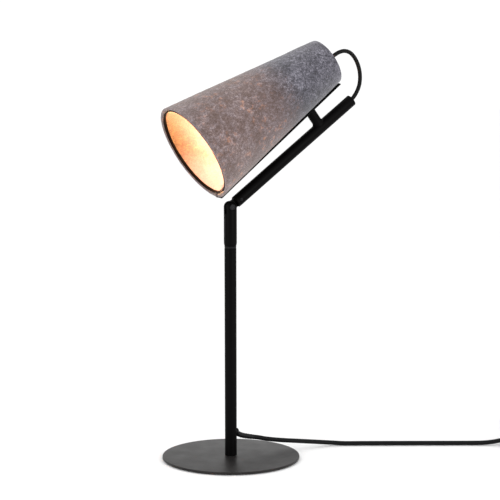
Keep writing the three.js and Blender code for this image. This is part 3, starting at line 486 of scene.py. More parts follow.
def soften(obj, width, sharp, segments=2):
    """Rounds the edges sharper than sharp degrees by width millimetres."""
    rounding = obj.modifiers.new("rounding", "BEVEL")
    rounding.width = width * MM
    rounding.segments = segments
    rounding.limit_method = "ANGLE"
    rounding.angle_limit = math.radians(sharp)
    bake(obj)
    tidy(obj, sharp)
    return obj


def rounded(profile, steps=5):
    """Replaces each (x, y, radius) corner of a closed profile by a curve that long on each side."""
    line = []
    for i, corner in enumerate(profile):
        here = Vector(corner[:2])
        size = corner[2] if len(corner) > 2 else 0
        if not size:
            line.append(here)
            continue
        before = Vector(profile[i - 1][:2]) - here
        after = Vector(profile[(i + 1) % len(profile)][:2]) - here
        size = min(size, 0.48 * before.length, 0.48 * after.length)
        start, end = here + before.normalized() * size, here + after.normalized() * size
        for k in range(steps + 1):
            t = k / steps
            line.append(start * (1 - t) ** 2 + here * 2 * t * (1 - t) + end * t ** 2)
    return line


def lathe(name, profile, place, slot, body, *nodes, facets=96, sharp=SHARP):
    """Turns a closed profile of (radius, height, fillet) round the frame's Z axis."""
    line = rounded(profile)
    points, rows = [], []
    for radius, height in line:
        if radius < 1e-6:
            rows.append([len(points)] * facets)
            points.append((0, 0, height))
            continue
        rows.append(list(range(len(points), len(points) + facets)))
        for k in range(facets):
            angle = 2 * math.pi * k / facets
            points.append((radius * math.cos(angle), radius * math.sin(angle), height))
    faces = []
    for i, row in enumerate(rows):
        after = rows[(i + 1) % len(rows)]
        if len(set(row)) == 1 and len(set(after)) == 1:
            continue
        for k in range(facets):
            n = (k + 1) % facets
            corners = [row[k], row[n], after[n], after[k]]
            faces.append(list(dict.fromkeys(corners)))
    return piece(name, points, faces, place, slot, body, *nodes, sharp=sharp)


def prism(name, outline, z0, z1, place, slot, body, *nodes, edge=0.0, sharp=SHARP):
    """Raises an outline of (x, y, corner) points from z0 to z1, with its rims rounded by edge."""
    line = rounded(outline, 8)
    count = len(line)
    points = [(p.x, p.y, z) for z in (z0, z1) for p in line]
    faces = [list(range(count)), list(range(2 * count - 1, count - 1, -1))]
    faces += [[k, (k + 1) % count, count + (k + 1) % count, count + k] for k in range(count)]
    obj = piece(name, points, faces, place, slot, body, *nodes, sharp=sharp)
    return soften(obj, edge, 60, 3) if edge else obj


def tool(kind, *shape, **options):
    """A cutter: a lathe or prism that belongs to nothing."""
    return kind("cutter", *shape, "black_paint", None, **options)


def drill(radius, start, end, place, facets=40):
    """A round cutter along the frame's Z axis."""
    return tool(lathe, [(0, start), (radius, start), (radius, end), (0, end)], place, facets=facets)


def hexagon(radius, corner=0.0):
    angles = [math.radians(60 * k) for k in range(6)]
    return [(radius * math.cos(a), radius * math.sin(a), corner) for a in angles]


def tube_faces(rows, sides):
    """The faces of a tube of rows rings of sides points each, with both ends closed."""
    faces = [list(range(sides)), list(range((rows - 1) * sides, rows * sides))]
    for i in range(rows - 1):
        for k in range(sides):
            n = (k + 1) % sides
            faces.append([i * sides + k, i * sides + n, (i + 1) * sides + n, (i + 1) * sides + k])
    return faces


def slab(x, y, corner):
    return [(x, y, corner), (-x, y, corner), (-x, -y, corner), (x, -y, corner)]


def curve_through(points, step):
    """A centripetal Catmull-Rom curve through the points, sampled about every step."""
    ends = [points[0] * 2 - points[1], *points, points[-1] * 2 - points[-2]]
    line = []
    for a, b, c, d in zip(ends, ends[1:], ends[2:], ends[3:]):
        ta = 0.0
        tb = ta + math.sqrt((b - a).length)
        tc = tb + math.sqrt((c - b).length)
        td = tc + math.sqrt((d - c).length)
        count = max(1, round((c - b).length / step))
        for k in range(count):
            t = tb + (tc - tb) * k / count
            ab = a * ((tb - t) / (tb - ta)) + b * ((t - ta) / (tb - ta))
            bc = b * ((tc - t) / (tc - tb)) + c * ((t - tb) / (tc - tb))
            cd = c * ((td - t) / (td - tc)) + d * ((t - tc) / (td - tc))
            abc = ab * ((tc - t) / (tc - ta)) + bc * ((t - ta) / (tc - ta))
            bcd = bc * ((td - t) / (td - tb)) + cd * ((t - tb) / (td - tb))
            line.append(abc * ((tc - t) / (tc - tb)) + bcd * ((t - tb) / (tc - tb)))
    return [*line, points[-1]]


def sweep(name, line, radius, place, slot, body, *nodes, sides=20):
    """A round tube along a line; radius is a number, or a function of the way along from 0 to 1."""
    size = radius if callable(radius) else lambda way: radius
    points, across = [], None
    for i, here in enumerate(line):
        along = (line[min(i + 1, len(line) - 1)] - line[max(i - 1, 0)]).normalized()
        if across is None:
            across = along.orthogonal()
        across = (across - along * across.dot(along)).normalized()
        other = along.cross(across)
        r = size(i / (len(line) - 1))
        for k in range(sides):
            angle = 2 * math.pi * k / sides
            points.append(here + (across * math.cos(angle) + other * math.sin(angle)) * r)
    faces = tube_faces(len(line), sides)
    return piece(name, points, faces, place, slot, body, *nodes, sharp=60)


def refined(node, slot, body, edge):
    """A copy of a small CAD piece with its edges broken."""
    obj = bpy.data.objects.new(node + "_fine", frame["nodes"][node].data.copy())
    bpy.context.scene.collection.objects.link(obj)
    work = bmesh.new()
    work.from_mesh(obj.data)
    bmesh.ops.remove_doubles(work, verts=work.verts, dist=2e-6)
    bmesh.ops.dissolve_limit(work, angle_limit=math.radians(2), verts=work.verts, edges=work.edges)
    work.to_mesh(obj.data)
    work.free()
    soften(obj, edge, 30)
    return settle(obj, slot, body, node)


# ---------------------------------------------------------------- camera

VIEW_AZIMUTH = math.radians(-26.3)
VIEW_ELEVATION = math.radians(7.6)
VIEW_ROLL = math.radians(-0.15)
VIEW_DISTANCE = 1.9
VIEW_TARGET = Vector((0, 0, 0.2302))
VIEW_LENS = 126.73
VIEW_SHIFT = 0.0392


def add_camera():
    back = Vector((
        math.sin(VIEW_AZIMUTH) * math.cos(VIEW_ELEVATION),
        -math.cos(VIEW_AZIMUTH) * math.cos(VIEW_ELEVATION),
        math.sin(VIEW_ELEVATION),
    ))
    camera = bpy.data.objects.new("camera", bpy.data.cameras.new("camera"))
    camera.data.lens = VIEW_LENS
    camera.data.sensor_width = 36
    camera.data.shift_x = VIEW_SHIFT
    camera.location = VIEW_TARGET + back * VIEW_DISTANCE
    turn = back.to_track_quat("Z", "Y").to_matrix() @ Matrix.Rotation(VIEW_ROLL, 3, "Z")
    camera.rotation_euler = turn.to_euler()
    bpy.context.scene.collection.objects.link(camera)
    bpy.context.scene.camera = camera


# ---------------------------------------------------------------- mains cord

LAY_START = Vector((130, -3, 0))


def on_table(along, left, height):
    return LAY_START + (CORD_WAY * along + CORD_LEFT * left) + UP * height


COIL_ALONG, COIL_LEFT = 252, 53
COIL_RADII = (34.5, 29.5, 24.5)
TURN_FAR = COIL_ALONG + COIL_RADII[0]


def coil_turns():
    """Seven turns: three in the bottom layer inwards, three above them outwards, and one on top."""
    bottom = [(radius, 3.6) for radius in COIL_RADII]
    above = [(radius, 8.6) for radius in reversed(COIL_RADII)]
    stages = [*bottom, *above, (34.0, 13.6)]
    per_turn = 32
    points = []
    for turn, (radius, height) in enumerate(stages):
        after = stages[min(turn + 1, len(stages) - 1)]
        for k in range(per_turn):
            t = k / per_turn
            ease = max(0.0, (t - 0.72) / 0.28)
            ease = ease * ease * (3 - 2 * ease)
            r = radius + (after[0] - radius) * ease
            z = height + (after[1] - height) * ease
            angle = 2 * math.pi * t
            sway = 0.25 * math.sin(3 * angle + turn * 1.7)
            along = COIL_ALONG + (r + sway) * math.cos(angle)
            left = COIL_LEFT + (r + sway) * math.sin(angle)
            points.append(on_table(along, left, z))
    return points


def cord_line():
    drop = [(28.4, 20.7), (34, 19.5), (43.9, 16.9), (61.4, 13.5), (78.5, 10.8), (96.3, 8), (112.3, 5.5)]
    points = [Vector((x, 0, z)) for x, z in drop]
    points.append(Vector((125, -1.2, 3.75)))
    points += [on_table(a, 0, 2.8) for a in (8, 30, 70, 110, 150)]
    points += [on_table(a, 0, z) for a, z in ((165, 2.95), (174, 3.6), (183, 5), (190.7, 6.6), (205, 6.6))]
    points += [on_table(a, 0, z) for a, z in ((221, 6.6), (237, 6.6), (251.3, 6.6), (256, 6.0))]
    for i in range(1, 7):
        angle = i / 6 * math.pi / 2
        along = TURN_FAR - 26 + 26 * math.sin(angle)
        left = 26 - 26 * math.cos(angle)
        points.append(on_table(along, left, 5.6 - 2 * i / 6))
    points.append(on_table(TURN_FAR, 34, 3.6))
    points.append(on_table(TURN_FAR, 44, 3.6))
    points += coil_turns()
    points.append(on_table(COIL_ALONG + 34.0, COIL_LEFT, 13.6))
    points.append(on_table(TURN_FAR, COIL_LEFT + 10, 13.0))
    points.append(on_table(TURN_FAR, COIL_LEFT + 21, 11.4))
    tail = [(286.6, 87.7, 9.6), (285, 95.9, 8.4), (280.4, 102.8, 7.6),
            (273.5, 107.4, 7.2), (265.3, 109, 7.1), (260, 109, 7.1)]
    points += [on_table(*p) for p in tail]
    return curve_through(points, 3.2)


def mains_cord():
    line = cord_line()
    flex = sweep("mains_flex", line, CORD_RADIUS, WORLD, "black_cable", "base",
                 "mains_cord", "coil_lead_in", "cord_coil", "plug_lead")
    return flex, line


def plug():
    neck, half = 6.5, 16.5
    pin_offset = 9.5
    outline = [(0, -neck, 1.5), (9, -neck - 1, 3), (24, -half, 4), (36, -half, 2.5),
               (36, half, 2.5), (24, half, 4), (9, neck + 1, 3), (0, neck, 1.5)]
    body = prism("plug_shell", outline, 0.35, 13.85, PLUG_BASE, "black_plastic", "base", edge=2.2)
    grips = []
    for i in range(4):
        x = 11 + 3.4 * i
        width = 2 * (5.5 + 1.6 * i)
        for z in (-0.2, 13.4):
            grips.append(tool(prism, slab(0.8, width / 2, 0.7), z, z + 1, moved(PLUG_BASE, x)))
    sockets = [drill(2.3, 31, 38, moved(PLUG_ROD, y=side * pin_offset)) for side in (-1, 1)]
    carve(body, *grips, *sockets)
    soften(body, 0.2, 45, 2)
    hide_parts("plug_body")
    pins = []
    for side, name in ((-1, "left"), (1, "right")):
        place = moved(PLUG_ROD, y=side * pin_offset)
        stem = [(0, 31.3), (1.95, 31.3), (1.95, 46), (1.78, 46.2), (1.78, 46.6), (2, 46.8),
                (2, 54, 1.2), (1, 55, 0.6), (0, 55)]
        pins.append(lathe("plug_pin_" + name + "_turned", stem, place, "pin_nickel", "base",
                          "plug_pin_" + name, facets=40))
        sleeve = [(1.97, 33), (2.06, 33), (2.06, 45.6, 0.1), (1.97, 45.8)]
        pins.append(lathe("pin_sleeve_" + name, sleeve, place, "black_plastic", "base", facets=40))
    return [body, *pins]


def coil_tie():
    tie = axes(Vector((*(on_table(COIL_ALONG - COIL_RADII[1], COIL_LEFT, 0) * MM).xy, 0)), CORD_WAY, UP)
    tie = tie @ Matrix.Rotation(math.pi / 2, 4, "X")
    outer = rounded([(8.9, 0.2, 2.5), (8.9, 17, 3), (-8.9, 17, 3), (-8.9, 0.2, 2.5)], 6)
    inner = rounded([(8.3, 0.8, 2), (8.3, 16.4, 2.6), (-8.3, 16.4, 2.6), (-8.3, 0.8, 2)], 6)
    count = len(outer)
    points = [(p.x, p.y, z) for z in (-4, 4) for line in (outer, inner) for p in line]
    faces = []
    for k in range(count):
        n = (k + 1) % count
        faces.append([k, n, count + n, count + k])
        faces.append([2 * count + k, 3 * count + k, 3 * count + n, 2 * count + n])
        faces.append([k, 2 * count + k, 2 * count + n, n])
        faces.append([count + k, count + n, 3 * count + n, 3 * count + k])
    band = piece("tie_band", points, faces, tie, "tie_fabric", "base", "coil_tie")
    return soften(band, 0.2, 50)


def strain_relief():
    """A domed head against the pole, and a ribbed tail that thins out along the cord."""
    face = TUBE_RADIUS + 0.1
    head = [(0, 3.4), (3.2, 3.4), (3.2, face, 0.3), (4.2, face), (4.2, face + 0.8, 0.3)]
    for i in range(1, 8):
        angle = i / 8 * math.pi / 2
        head.append((4.2 * math.cos(angle), face + 0.8 + 1.9 * math.sin(angle)))
    head.append((0, face + 2.7))
    grommet = axes(UP * CORD_EXIT_HEIGHT * MM, -UP, Vector((1, 0, 0)))
    dome = lathe("relief_head", head, grommet, "black_plastic", "base", facets=48)
    route = ((6.9, 27.5), (9.5, 26.1), (13.5, 24.3), (20, 22.5), (28, 20.8))
    line = curve_through([Vector((x, 0, z)) for x, z in route], 0.35)

    def thickness(way):
        ribs = 0.14 * math.cos(2 * math.pi * way * 7) if 0.25 < way < 0.97 else 0.0
        return 3.05 - 0.42 * way + ribs - (0.25 if way >= 1 else 0.0)

    tail = sweep("relief_tail", line, thickness, WORLD, "black_plastic", "base",
                 "cord_strain_relief", sides=32)
    return [dome, tail]


def cord_switch():
    """An in-line switch: a base and a lid that meet at the cord's height, with a rocker in a window."""
    length, width, corner = 30, 12, 8.6
    cord_height = 6.6
    screw_at = 20

    def shell(name, z0, z1, edge, *nodes):
        outline = slab(length, width, corner * 1.25)
        return prism(name, outline, z0, z1, SWITCH, "black_plastic", "base", *nodes, edge=edge)

    def cord_holes():
        rod = moved(SWITCH, z=cord_height) @ Matrix.Rotation(math.pi / 2, 4, "Y")
        return [drill(2.75, z - 5, z + 5, rod, facets=48) for z in (-30, 30)]

    bottom = shell("switch_shell_base", 0.3, 6.5, 0.0, "switch_base")
    room = tool(prism, slab(length - 2, width - 2, corner), 2.3, 9, SWITCH)
    wells = [drill(3, -1, 2, moved(SWITCH, side * screw_at, 6)) for side in (-1, 1)]
    carve(bottom, room, *cord_holes(), *wells)
    soften(bottom, 0.45, 50, 3)
    top = shell("switch_shell_cover", 6.75, 17, 0.0, "switch_cover")
    room = tool(prism, slab(length - 2, width - 2, corner), 5, 15, SWITCH)
    window = tool(prism, slab(10, 5.4, 0.8), 13, 19, SWITCH)
    groove = tool(prism, slab(13.5, 8.6, 3), 16.7, 19, SWITCH)
    carve(top, room, window, groove, *cord_holes())
    soften(top, 0.8, 50, 3)
    for end, side in (("in", -1), ("out", 1)):
        profile = [(0, 0.6), (2.6, 0.6, 0.3), (2.6, 1.9), (1.4, 1.9), (1.4, 12), (0, 12)]
        place = moved(SWITCH, side * screw_at, 6)
        screw = lathe("switch_screw_" + end + "_turned", profile, place, "zinc_steel", "base",
                      "switch_screw_" + end, facets=40)
        carve(screw, *[tool(prism, slab(*size, 0.1), 0, 1.4, place) for size in ((1.6, 0.3), (0.3, 1.6))])
    return [bottom, top]


def rocker():
    pos = Vector(joint("switch_rocker")["pos_m"])
    lean = Matrix.Rotation(math.radians(8), 3, "Y") @ Vector((1, 0, 0))
    x = CORD_WAY * lean.x + UP * lean.z
    tilt = axes(pos, x, -CORD_LEFT)
    top = [(-9 + 18 * k / 24, 4.6 + 1.3 * (abs(-9 + 18 * k / 24) / 9) ** 1.6) for k in range(25)]
    outline = [(-8, 1.5, 0.6), (-3, -3.5, 0.6), (3, -3.5, 0.6), (8, 1.5, 0.6), *reversed(top)]
    paddle = prism("rocker_paddle", outline, -5, 5, tilt, "rocker_plastic", "rocker", "switch_rocker",
                   sharp=30)
    return soften(paddle, 0.45, 40, 3)


# ---------------------------------------------------------------- base and pole


def base():
    pad = [(0, 0), (71, 0, 0.25), (71, 0.8, 0.25), (0, 0.8)]
    lathe("base_pad_disc", pad, WORLD, "foam_pad", "base", "base_pad", facets=192)
    plate = [(3.3, 1.1), (75, 1.1, 0.5), (75, 3.6, 0.6), (3.3, 3.6)]
    lathe("base_disc", plate, WORLD, "base_paint", "base", "base_plate", facets=256)
    low, high = (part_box("pole_tube")[i].z / MM for i in (0, 1))
    pipe = [(TUBE_BORE, low), (TUBE_RADIUS, low), (TUBE_RADIUS, high, 0.3), (TUBE_BORE, high)]
    tube = lathe("pole_pipe", pipe, WORLD, "black_paint", "base", "pole_tube", facets=128)
    hole = axes(UP * CORD_EXIT_HEIGHT * MM, UP, Vector((1, 0, 0)))
    carve(tube, drill(3.6, 2, 9, hole, facets=48))


# ---------------------------------------------------------------- knuckle


def swivel():
    pivot = PIVOT.z / MM
    bore_top = 259
    set_screw_height = 248
    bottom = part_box("swivel_sleeve")[0].z / MM
    dome = [(SLEEVE_RADIUS * math.cos(a), pivot + SLEEVE_RADIUS * math.sin(a))
            for a in (math.radians(3.75 * k) for k in range(24))]
    profile = [(5.1, bottom), (6.4, bottom, 0.3), (SLEEVE_RADIUS, bottom + 2.8, 1.2), *dome,
               (0, pivot + SLEEVE_RADIUS), (0, bore_top), (5.1, bore_top)]
    sleeve = lathe("swivel_body", profile, WORLD, "black_paint", "swivel", "swivel_sleeve", facets=128)
    slot_floor = pivot - 7.2
    lead_way = drill(3.4, 250, slot_floor + 1, moved(WORLD, 1.2))
    slot = tool(prism, slab(12, SLOT_HALF_WIDTH, 0), slot_floor, pivot + 10, WORLD)
    bore = drill(HINGE_HOLE, -9, 9, HINGE)
    seats = [drill(3.6, z0, z1, HINGE, facets=48) for z0, z1 in ((-9, -4.9), (4.9, 9))]
    side = axes(UP * set_screw_height * MM, UP, Vector((-1, 0, 0)))
    set_screw_hole = drill(1.8, 2, 9, side)
    carve(sleeve, lead_way, slot, bore, *seats, set_screw_hole)
    soften(sleeve, 0.28, 42, 2)
    pan = [(0, -6.3), (3.3, -6.3, 0.5), (3.3, -5.2), (2, -5.2), (2, 6, 0.3), (0, 6)]
    screw = lathe("hinge_screw_turned", pan, HINGE, "black_steel", "swivel", "hinge_screw", facets=64)
    driver_slot = tool(prism, slab(0.4, 4, 0), -7, -5.6, HINGE)
    carve(screw, driver_slot)
    nut = prism("hinge_nut_hex", hexagon(3.3, 0.2), 5.2, 6.2, HINGE, "black_steel", "swivel", "hinge_nut",
                edge=0.15)
    carve(nut, drill(HINGE_HOLE, 4, 8, HINGE))
    for end, y0, y1 in (("near", -3.1, -2.5), ("far", 2.5, 3.1)):
        washer = [(HINGE_HOLE, y0, 0.1), (4.6, y0, 0.15), (4.6, y1, 0.15), (HINGE_HOLE, y1, 0.1)]
        lathe("hinge_washer_" + end + "_disc", washer, HINGE, "black_nylon", "swivel",
              "hinge_washer_" + end, facets=64)
    knuckle_leads()


def knuckle_leads():
    """The two single leads across the knuckle, drawn in one fixed bend; in the real lamp they bend when the arm
    tilts.
    """
    route = [(0, 257.2), (1.2, 262), (3, 267), (4.3, 272), (4.9, 276), (6.2, 279.8), (9, 283.4),
             (13, 286.7), (18, 290.4)]
    for name, slot_name, y in (("live", "lead_brown", -0.62), ("neutral", "lead_blue", 0.62)):
        line = curve_through([Vector((x, y, z)) for x, z in route], 0.8)
        lead = sweep("lead_" + name, line, 0.5, WORLD, slot_name, None, "knuckle_lead_" + name, sides=12)
        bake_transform(lead)


def tongue():
    """A flat grooved eye on the hinge screw, blending into the round shank in the arm."""
    profile = [(0, 0), (5.2, 0), (5.2, 15.5), (0, 15.5)]
    shank = lathe("tongue_shank", profile, moved(ARM, 0, 0, 8.5), "black_paint", "arm", facets=64)
    soften(shank, 0.25, 42)
    angles = [math.radians(90 + 6 * k) for k in range(31)]
    eye_line = [(5.6 * math.cos(a), 5.6 * math.sin(a)) for a in angles]
    eye_line += [(9.4, -4.2), (9.4, 4.2)]
    flat = axes(PIVOT, ARM_WAY, -LEFT)
    eye = prism("tongue_eye", eye_line, -2.2, 2.2, flat, "black_paint", "arm", "hinge_tongue", sharp=30)
    bore = drill(HINGE_HOLE, -5, 5, flat, facets=48)
    groove = tool(lathe, [(3.2, -1.4), (8, -1.4), (8, 1.4), (3.2, 1.4)], flat, facets=64)
    carve(eye, bore, groove)
    soften(eye, 0.3, 42, 2)


# ---------------------------------------------------------------- arm


def arm():
    foot, tip = 8.2, 186.3
    pipe = [(TUBE_BORE, foot, 0.2), (TUBE_RADIUS, foot, 0.9), (TUBE_RADIUS, tip, 1.1), (TUBE_BORE, tip, 0.3)]
    tube = lathe("arm_pipe", pipe, ARM, "black_paint", "arm", "arm_tube", facets=128)
    side = axes(PIVOT + ARM_WAY * 13.5 * MM, ARM_WAY, -LEFT)
    carve(tube, drill(1.8, 4, 9, side))
    plain = [(0, 4.5), (1.5, 4.5), (1.5, 6.3, 0.2), (0, 6.3)]
    grub = lathe("arm_grub_turned", plain, side, "black_steel", "arm", "arm_grub_screw", facets=40)
    carve(grub, tool(prism, hexagon(0.85), 5.3, 7, side))
    bush = [(2.65, 177.3), (5.2, 177.3), (5.2, 185.9, 0.5), (2.65, 185.9, 0.7)]
    lathe("arm_bush", bush, ARM, "black_plastic", "arm", "arm_end_bush", facets=64)
    stub()
    lamp_cable()


def stub():
    """A round post from the arm to the seam strip, drawn out into the arm along its foot."""
    facets, rows = 96, 26
    top = strip_top_over_stub()
    points = []
    for i in range(rows + 1):
        rise = i / rows
        for k in range(facets):
            angle = 2 * math.pi * k / facets
            c, s = math.cos(angle), math.sin(angle)
            foot = math.sqrt(max(0.0, (TUBE_RADIUS - 0.15) ** 2 - (STUB_RADIUS * s) ** 2))
            head = top(STUB_RADIUS * c, STUB_RADIUS * s)
            height = foot + (head - foot) * rise ** 1.6
            flare = max(0.0, 1 - (height - foot) / 2.6)
            rim = max(0.0, 1 - (head - height) / 0.3) * 0.25
            grow = 1.7 * flare * flare * abs(c) + 0.25 * flare * flare
            points.append(((STUB_RADIUS + grow - rim) * c, (STUB_RADIUS + grow * 0.5 - rim) * s, height))
    faces = tube_faces(rows + 1, facets)
    piece("stub_post", points, faces, STUB, "black_paint", "arm", "shade_stub", sharp=50)


def strip_top_over_stub():
    """Height over the arm's axis of the seam strip's outer face, as a function of the place on the stub."""
    to_seam = SEAM.inverted() @ STUB
    origin = to_seam @ Vector((0, 0, 0))
    slopes = [(to_seam @ axis - origin).x for axis in (Vector((1, 0, 0)), LEFT, UP)]
    face = 2.85

    def height(x, y):
        return (face - origin.x - slopes[0] * x - slopes[1] * y) / slopes[2]

    return height


def lamp_cable():
    """From the arm's end in one loop to the back of the lampholder."""
    def in_lamp(place, z):
        return (place @ Vector((0, 0, z))) / MM

    loop = [(151.7, 390.7), (156, 396.6), (159.2, 403.6), (160.4, 411.4), (159.8, 419.6), (157.2, 427.9),
            (152.9, 435.2), (147.3, 440.3), (140.6, 442.2), (134, 441), (128, 438)]
    points = [in_lamp(ARM, t) for t in (25.5, 60, 100, 140, 170, 182)]
    points += [Vector((x, 0, z)) for x, z in loop]
    points += [in_lamp(SHADE, s) for s in (190, 182, 172)]
    sweep("lamp_flex", curve_through(points, 1.6), LAMP_CABLE_RADIUS, WORLD, "black_cable", "arm",
          "lamp_cable", sides=24)


# ---------------------------------------------------------------- shade


def cone_radius(station):
    return MOUTH_RADIUS - (MOUTH_RADIUS - BACK_RADIUS) * station / SHADE_LENGTH


def ripple(u, v, size, seed):
    return noise.noise(Vector((u / size, v / size, seed)))


def felt_surface(angle, station, depth):
    """A point of the felt, depth millimetres in from its outer face. The angle runs from the seam."""
    radius = cone_radius(station)
    pinch = PINCH * max(0.0, 1 - min(angle, 2 * math.pi - angle) / PINCH_REACH) ** 2
    girth = radius * angle
    held = min(1, station / 20) * min(1, (SHADE_LENGTH - station) / 20)
    sag = 0.45 * ripple(girth, station, 70, 3.1) * held
    matted = 0.10 * ripple(girth, station, 5.5, 7.7) + 0.05 * ripple(girth, station, 2.2, 9.3 + depth)
    r = radius + pinch + sag + matted - depth
    return Vector((r * math.cos(angle), r * math.sin(angle), station))


def felt_cone():
    """One sheet rolled into a cone: its outer and inner faces, and the four cut edges between them."""
    around, along, through = 320, 200, 3
    half_gap = SEAM_GAP / 2 + 0.05
    layers = through + 1
    points, index = [], {}
    for layer in range(layers):
        edges = 0 < layer < through
        depth = FELT * layer / through
        for i in range(around + 1):
            for j in range(along + 1):
                rim = i in (0, around) or j in (0, along)
                if edges and not rim:
                    continue
                station = SHADE_LENGTH * j / along
                start = math.asin(half_gap / (cone_radius(station) - depth))
                angle = start + (2 * math.pi - 2 * start) * i / around
                place = felt_surface(angle, station, depth)
                bulge = math.sin(math.pi * layer / through)
                girth = cone_radius(station) * angle
                ragged = 0.16 * ripple(girth, depth * 3, 1.6, 21.5) + 0.2 * bulge - 0.14
                if j == 0:
                    place.z -= ragged
                if j == along:
                    place.z += ragged
                index[layer, i, j] = len(points)
                points.append(place)
    faces = []

    def face(*corners):
        faces.append([index[corner] for corner in corners])

    for i in range(around):
        for j in range(along):
            for n in (0, through):
                face((n, i, j), (n, i + 1, j), (n, i + 1, j + 1), (n, i, j + 1))
    for n in range(through):
        for j in (0, along):
            for i in range(around):
                face((n, i, j), (n, i + 1, j), (n + 1, i + 1, j), (n + 1, i, j))
        for i in (0, around):
            for j in range(along):
                face((n, i, j), (n, i, j + 1), (n + 1, i, j + 1), (n + 1, i, j))
    cone = piece("felt_cone", points, faces, SHADE, "grey_felt", "arm", "felt_shade", sharp=62)
    mark_inside(cone)
    return cone


def mark_inside(cone):
    """Gives each vertex of the cone 1 on its inner face, and 0 on the rest, for the felt's material."""
    to_shade = SHADE.inverted()
    values = []
    for vertex in cone.data.vertices:
        place = to_shade @ vertex.co
        depth = cone_radius(place.z) - math.hypot(place.x, place.y)
        values.append(1.0 if depth > 0.75 * FELT and place.z > HOOP_RECESS + HOOP_HEIGHT else 0.0)
    cone.data.attributes.new("inside", "FLOAT", "POINT").data.foreach_set("value", values)


def felt_fuzz():
    """Stray wool fibres that stand off the felt's outer face and its cut edge at the mouth."""
    spread = random.Random(11)
    points, faces = [], []
    for number in range(7000):
        on_edge = number % 7 == 0
        station = 0.0 if on_edge else SHADE_LENGTH * spread.random() ** 1.15
        depth = FELT * spread.random() if on_edge else 0.0
        angle = spread.uniform(0.06, 2 * math.pi - 0.06)
        root = felt_surface(angle, station, depth)
        out = Vector((math.cos(angle), math.sin(angle), 0.15)) if not on_edge else Vector((0, 0, -1))
        lay = Vector([spread.gauss(0, 1) for _ in range(3)])
        length = spread.uniform(0.35, 1.15)
        tip = root + (out * spread.uniform(0.15, 0.6) + lay * 0.5).normalized() * length
        if not on_edge and math.hypot(tip.x, tip.y) < cone_radius(tip.z):
            continue
        bend = (root + tip) / 2 + out * 0.12 * length
        width = spread.uniform(0.018, 0.032)
        start = len(points)
        side = (tip - root).orthogonal().normalized()
        other = (tip - root).normalized().cross(side)
        for centre, size in ((root, width), (bend, width * 0.9), (tip, width * 0.25)):
            for k in range(3):
                turn = 2 * math.pi * k / 3
                points.append(centre + (side * math.cos(turn) + other * math.sin(turn)) * size)
        faces += [[start, start + 1, start + 2], [start + 6, start + 7, start + 8]]
        for row in (0, 3):
            for k in range(3):
                n = (k + 1) % 3
                faces.append([start + row + k, start + row + n, start + row + 3 + n, start + row + 3 + k])
    return piece("felt_fuzz", points, faces, SHADE, "grey_felt", "arm", sharp=80)


def seam_strips():
    """A flat bar over the seam and one under it, with the screws that clamp the felt between them."""
    outer = axes(SEAM.translation, SEAM_WAY, SEAM_OUT)

    def bar(name, z0, z1, start, end, half, corner, node):
        outline = [(end, half, corner), (start, half, corner), (start, -half, corner), (end, -half, corner)]
        strip = prism(name, outline, z0, z1, outer, "black_paint", "arm", node)
        carve(strip, *[drill(1.5, -9, 2.2, moved(SEAM_ROD, s), facets=32) for s, _ in STRIP_SCREWS.values()])
        return soften(strip, 0.25, 45, 2)

    bar("strip_outer", 1.2, 2.7, 0.6, SEAM_LENGTH + 0.6, 7.3, 0.8, "seam_strip")
    bar("strip_inner", -5.3, -4.1, 18, SEAM_LENGTH - 4, 6, 0.8, "seam_strip_inner")
    for name, (station, lift) in STRIP_SCREWS.items():
        face = -5.6 - lift
        pan = [(0, face - 1.6), (2.4, face - 1.6, 0.8), (2.4, face, 0.1), (1.2, face), (1.2, 2.1), (0, 2.1)]
        screw = lathe("strip_screw_" + name + "_turned", pan, moved(SEAM_ROD, station), "black_steel", "arm",
                      "strip_screw_" + name, facets=40)
        cross_slot(screw, moved(SEAM_ROD, station), face - 1.6, 1.5)
    pan = [(0, -8.2), (4.2, -8.2, 1.4), (4.2, -5.6, 0.2), (2.2, -5.6), (2.2, 10.2), (0, 10.2)]
    place = moved(SEAM_ROD, middle_of_stub_on_seam())
    screw = lathe("stub_screw_turned", pan, place, "zinc_steel", "arm", "stub_screw", facets=48)
    cross_slot(screw, place, -8.2, 2.4)


def middle_of_stub_on_seam():
    """How far along the seam the stub's axis meets it."""
    stub_height = 24
    return (SEAM.inverted() @ (STUB @ Vector((0, 0, stub_height)))).z


def cross_slot(screw, place, face, reach):
    sizes = ((reach, 0.35), (0.35, reach))
    carve(screw, *[tool(prism, slab(*size, 0.1), face - 1, face + 1, place) for size in sizes])


def hoop():
    low, high = HOOP_RECESS, HOOP_RECESS + HOOP_HEIGHT
    outer = cone_radius(high) - FELT - 0.25
    ring = [(outer - 1.4, low, 0.5), (outer, low, 0.5), (outer, high, 0.5), (outer - 1.4, high, 0.5)]
    lathe("hoop_ring", ring, SHADE, "black_paint", "arm", "mouth_hoop", facets=192)


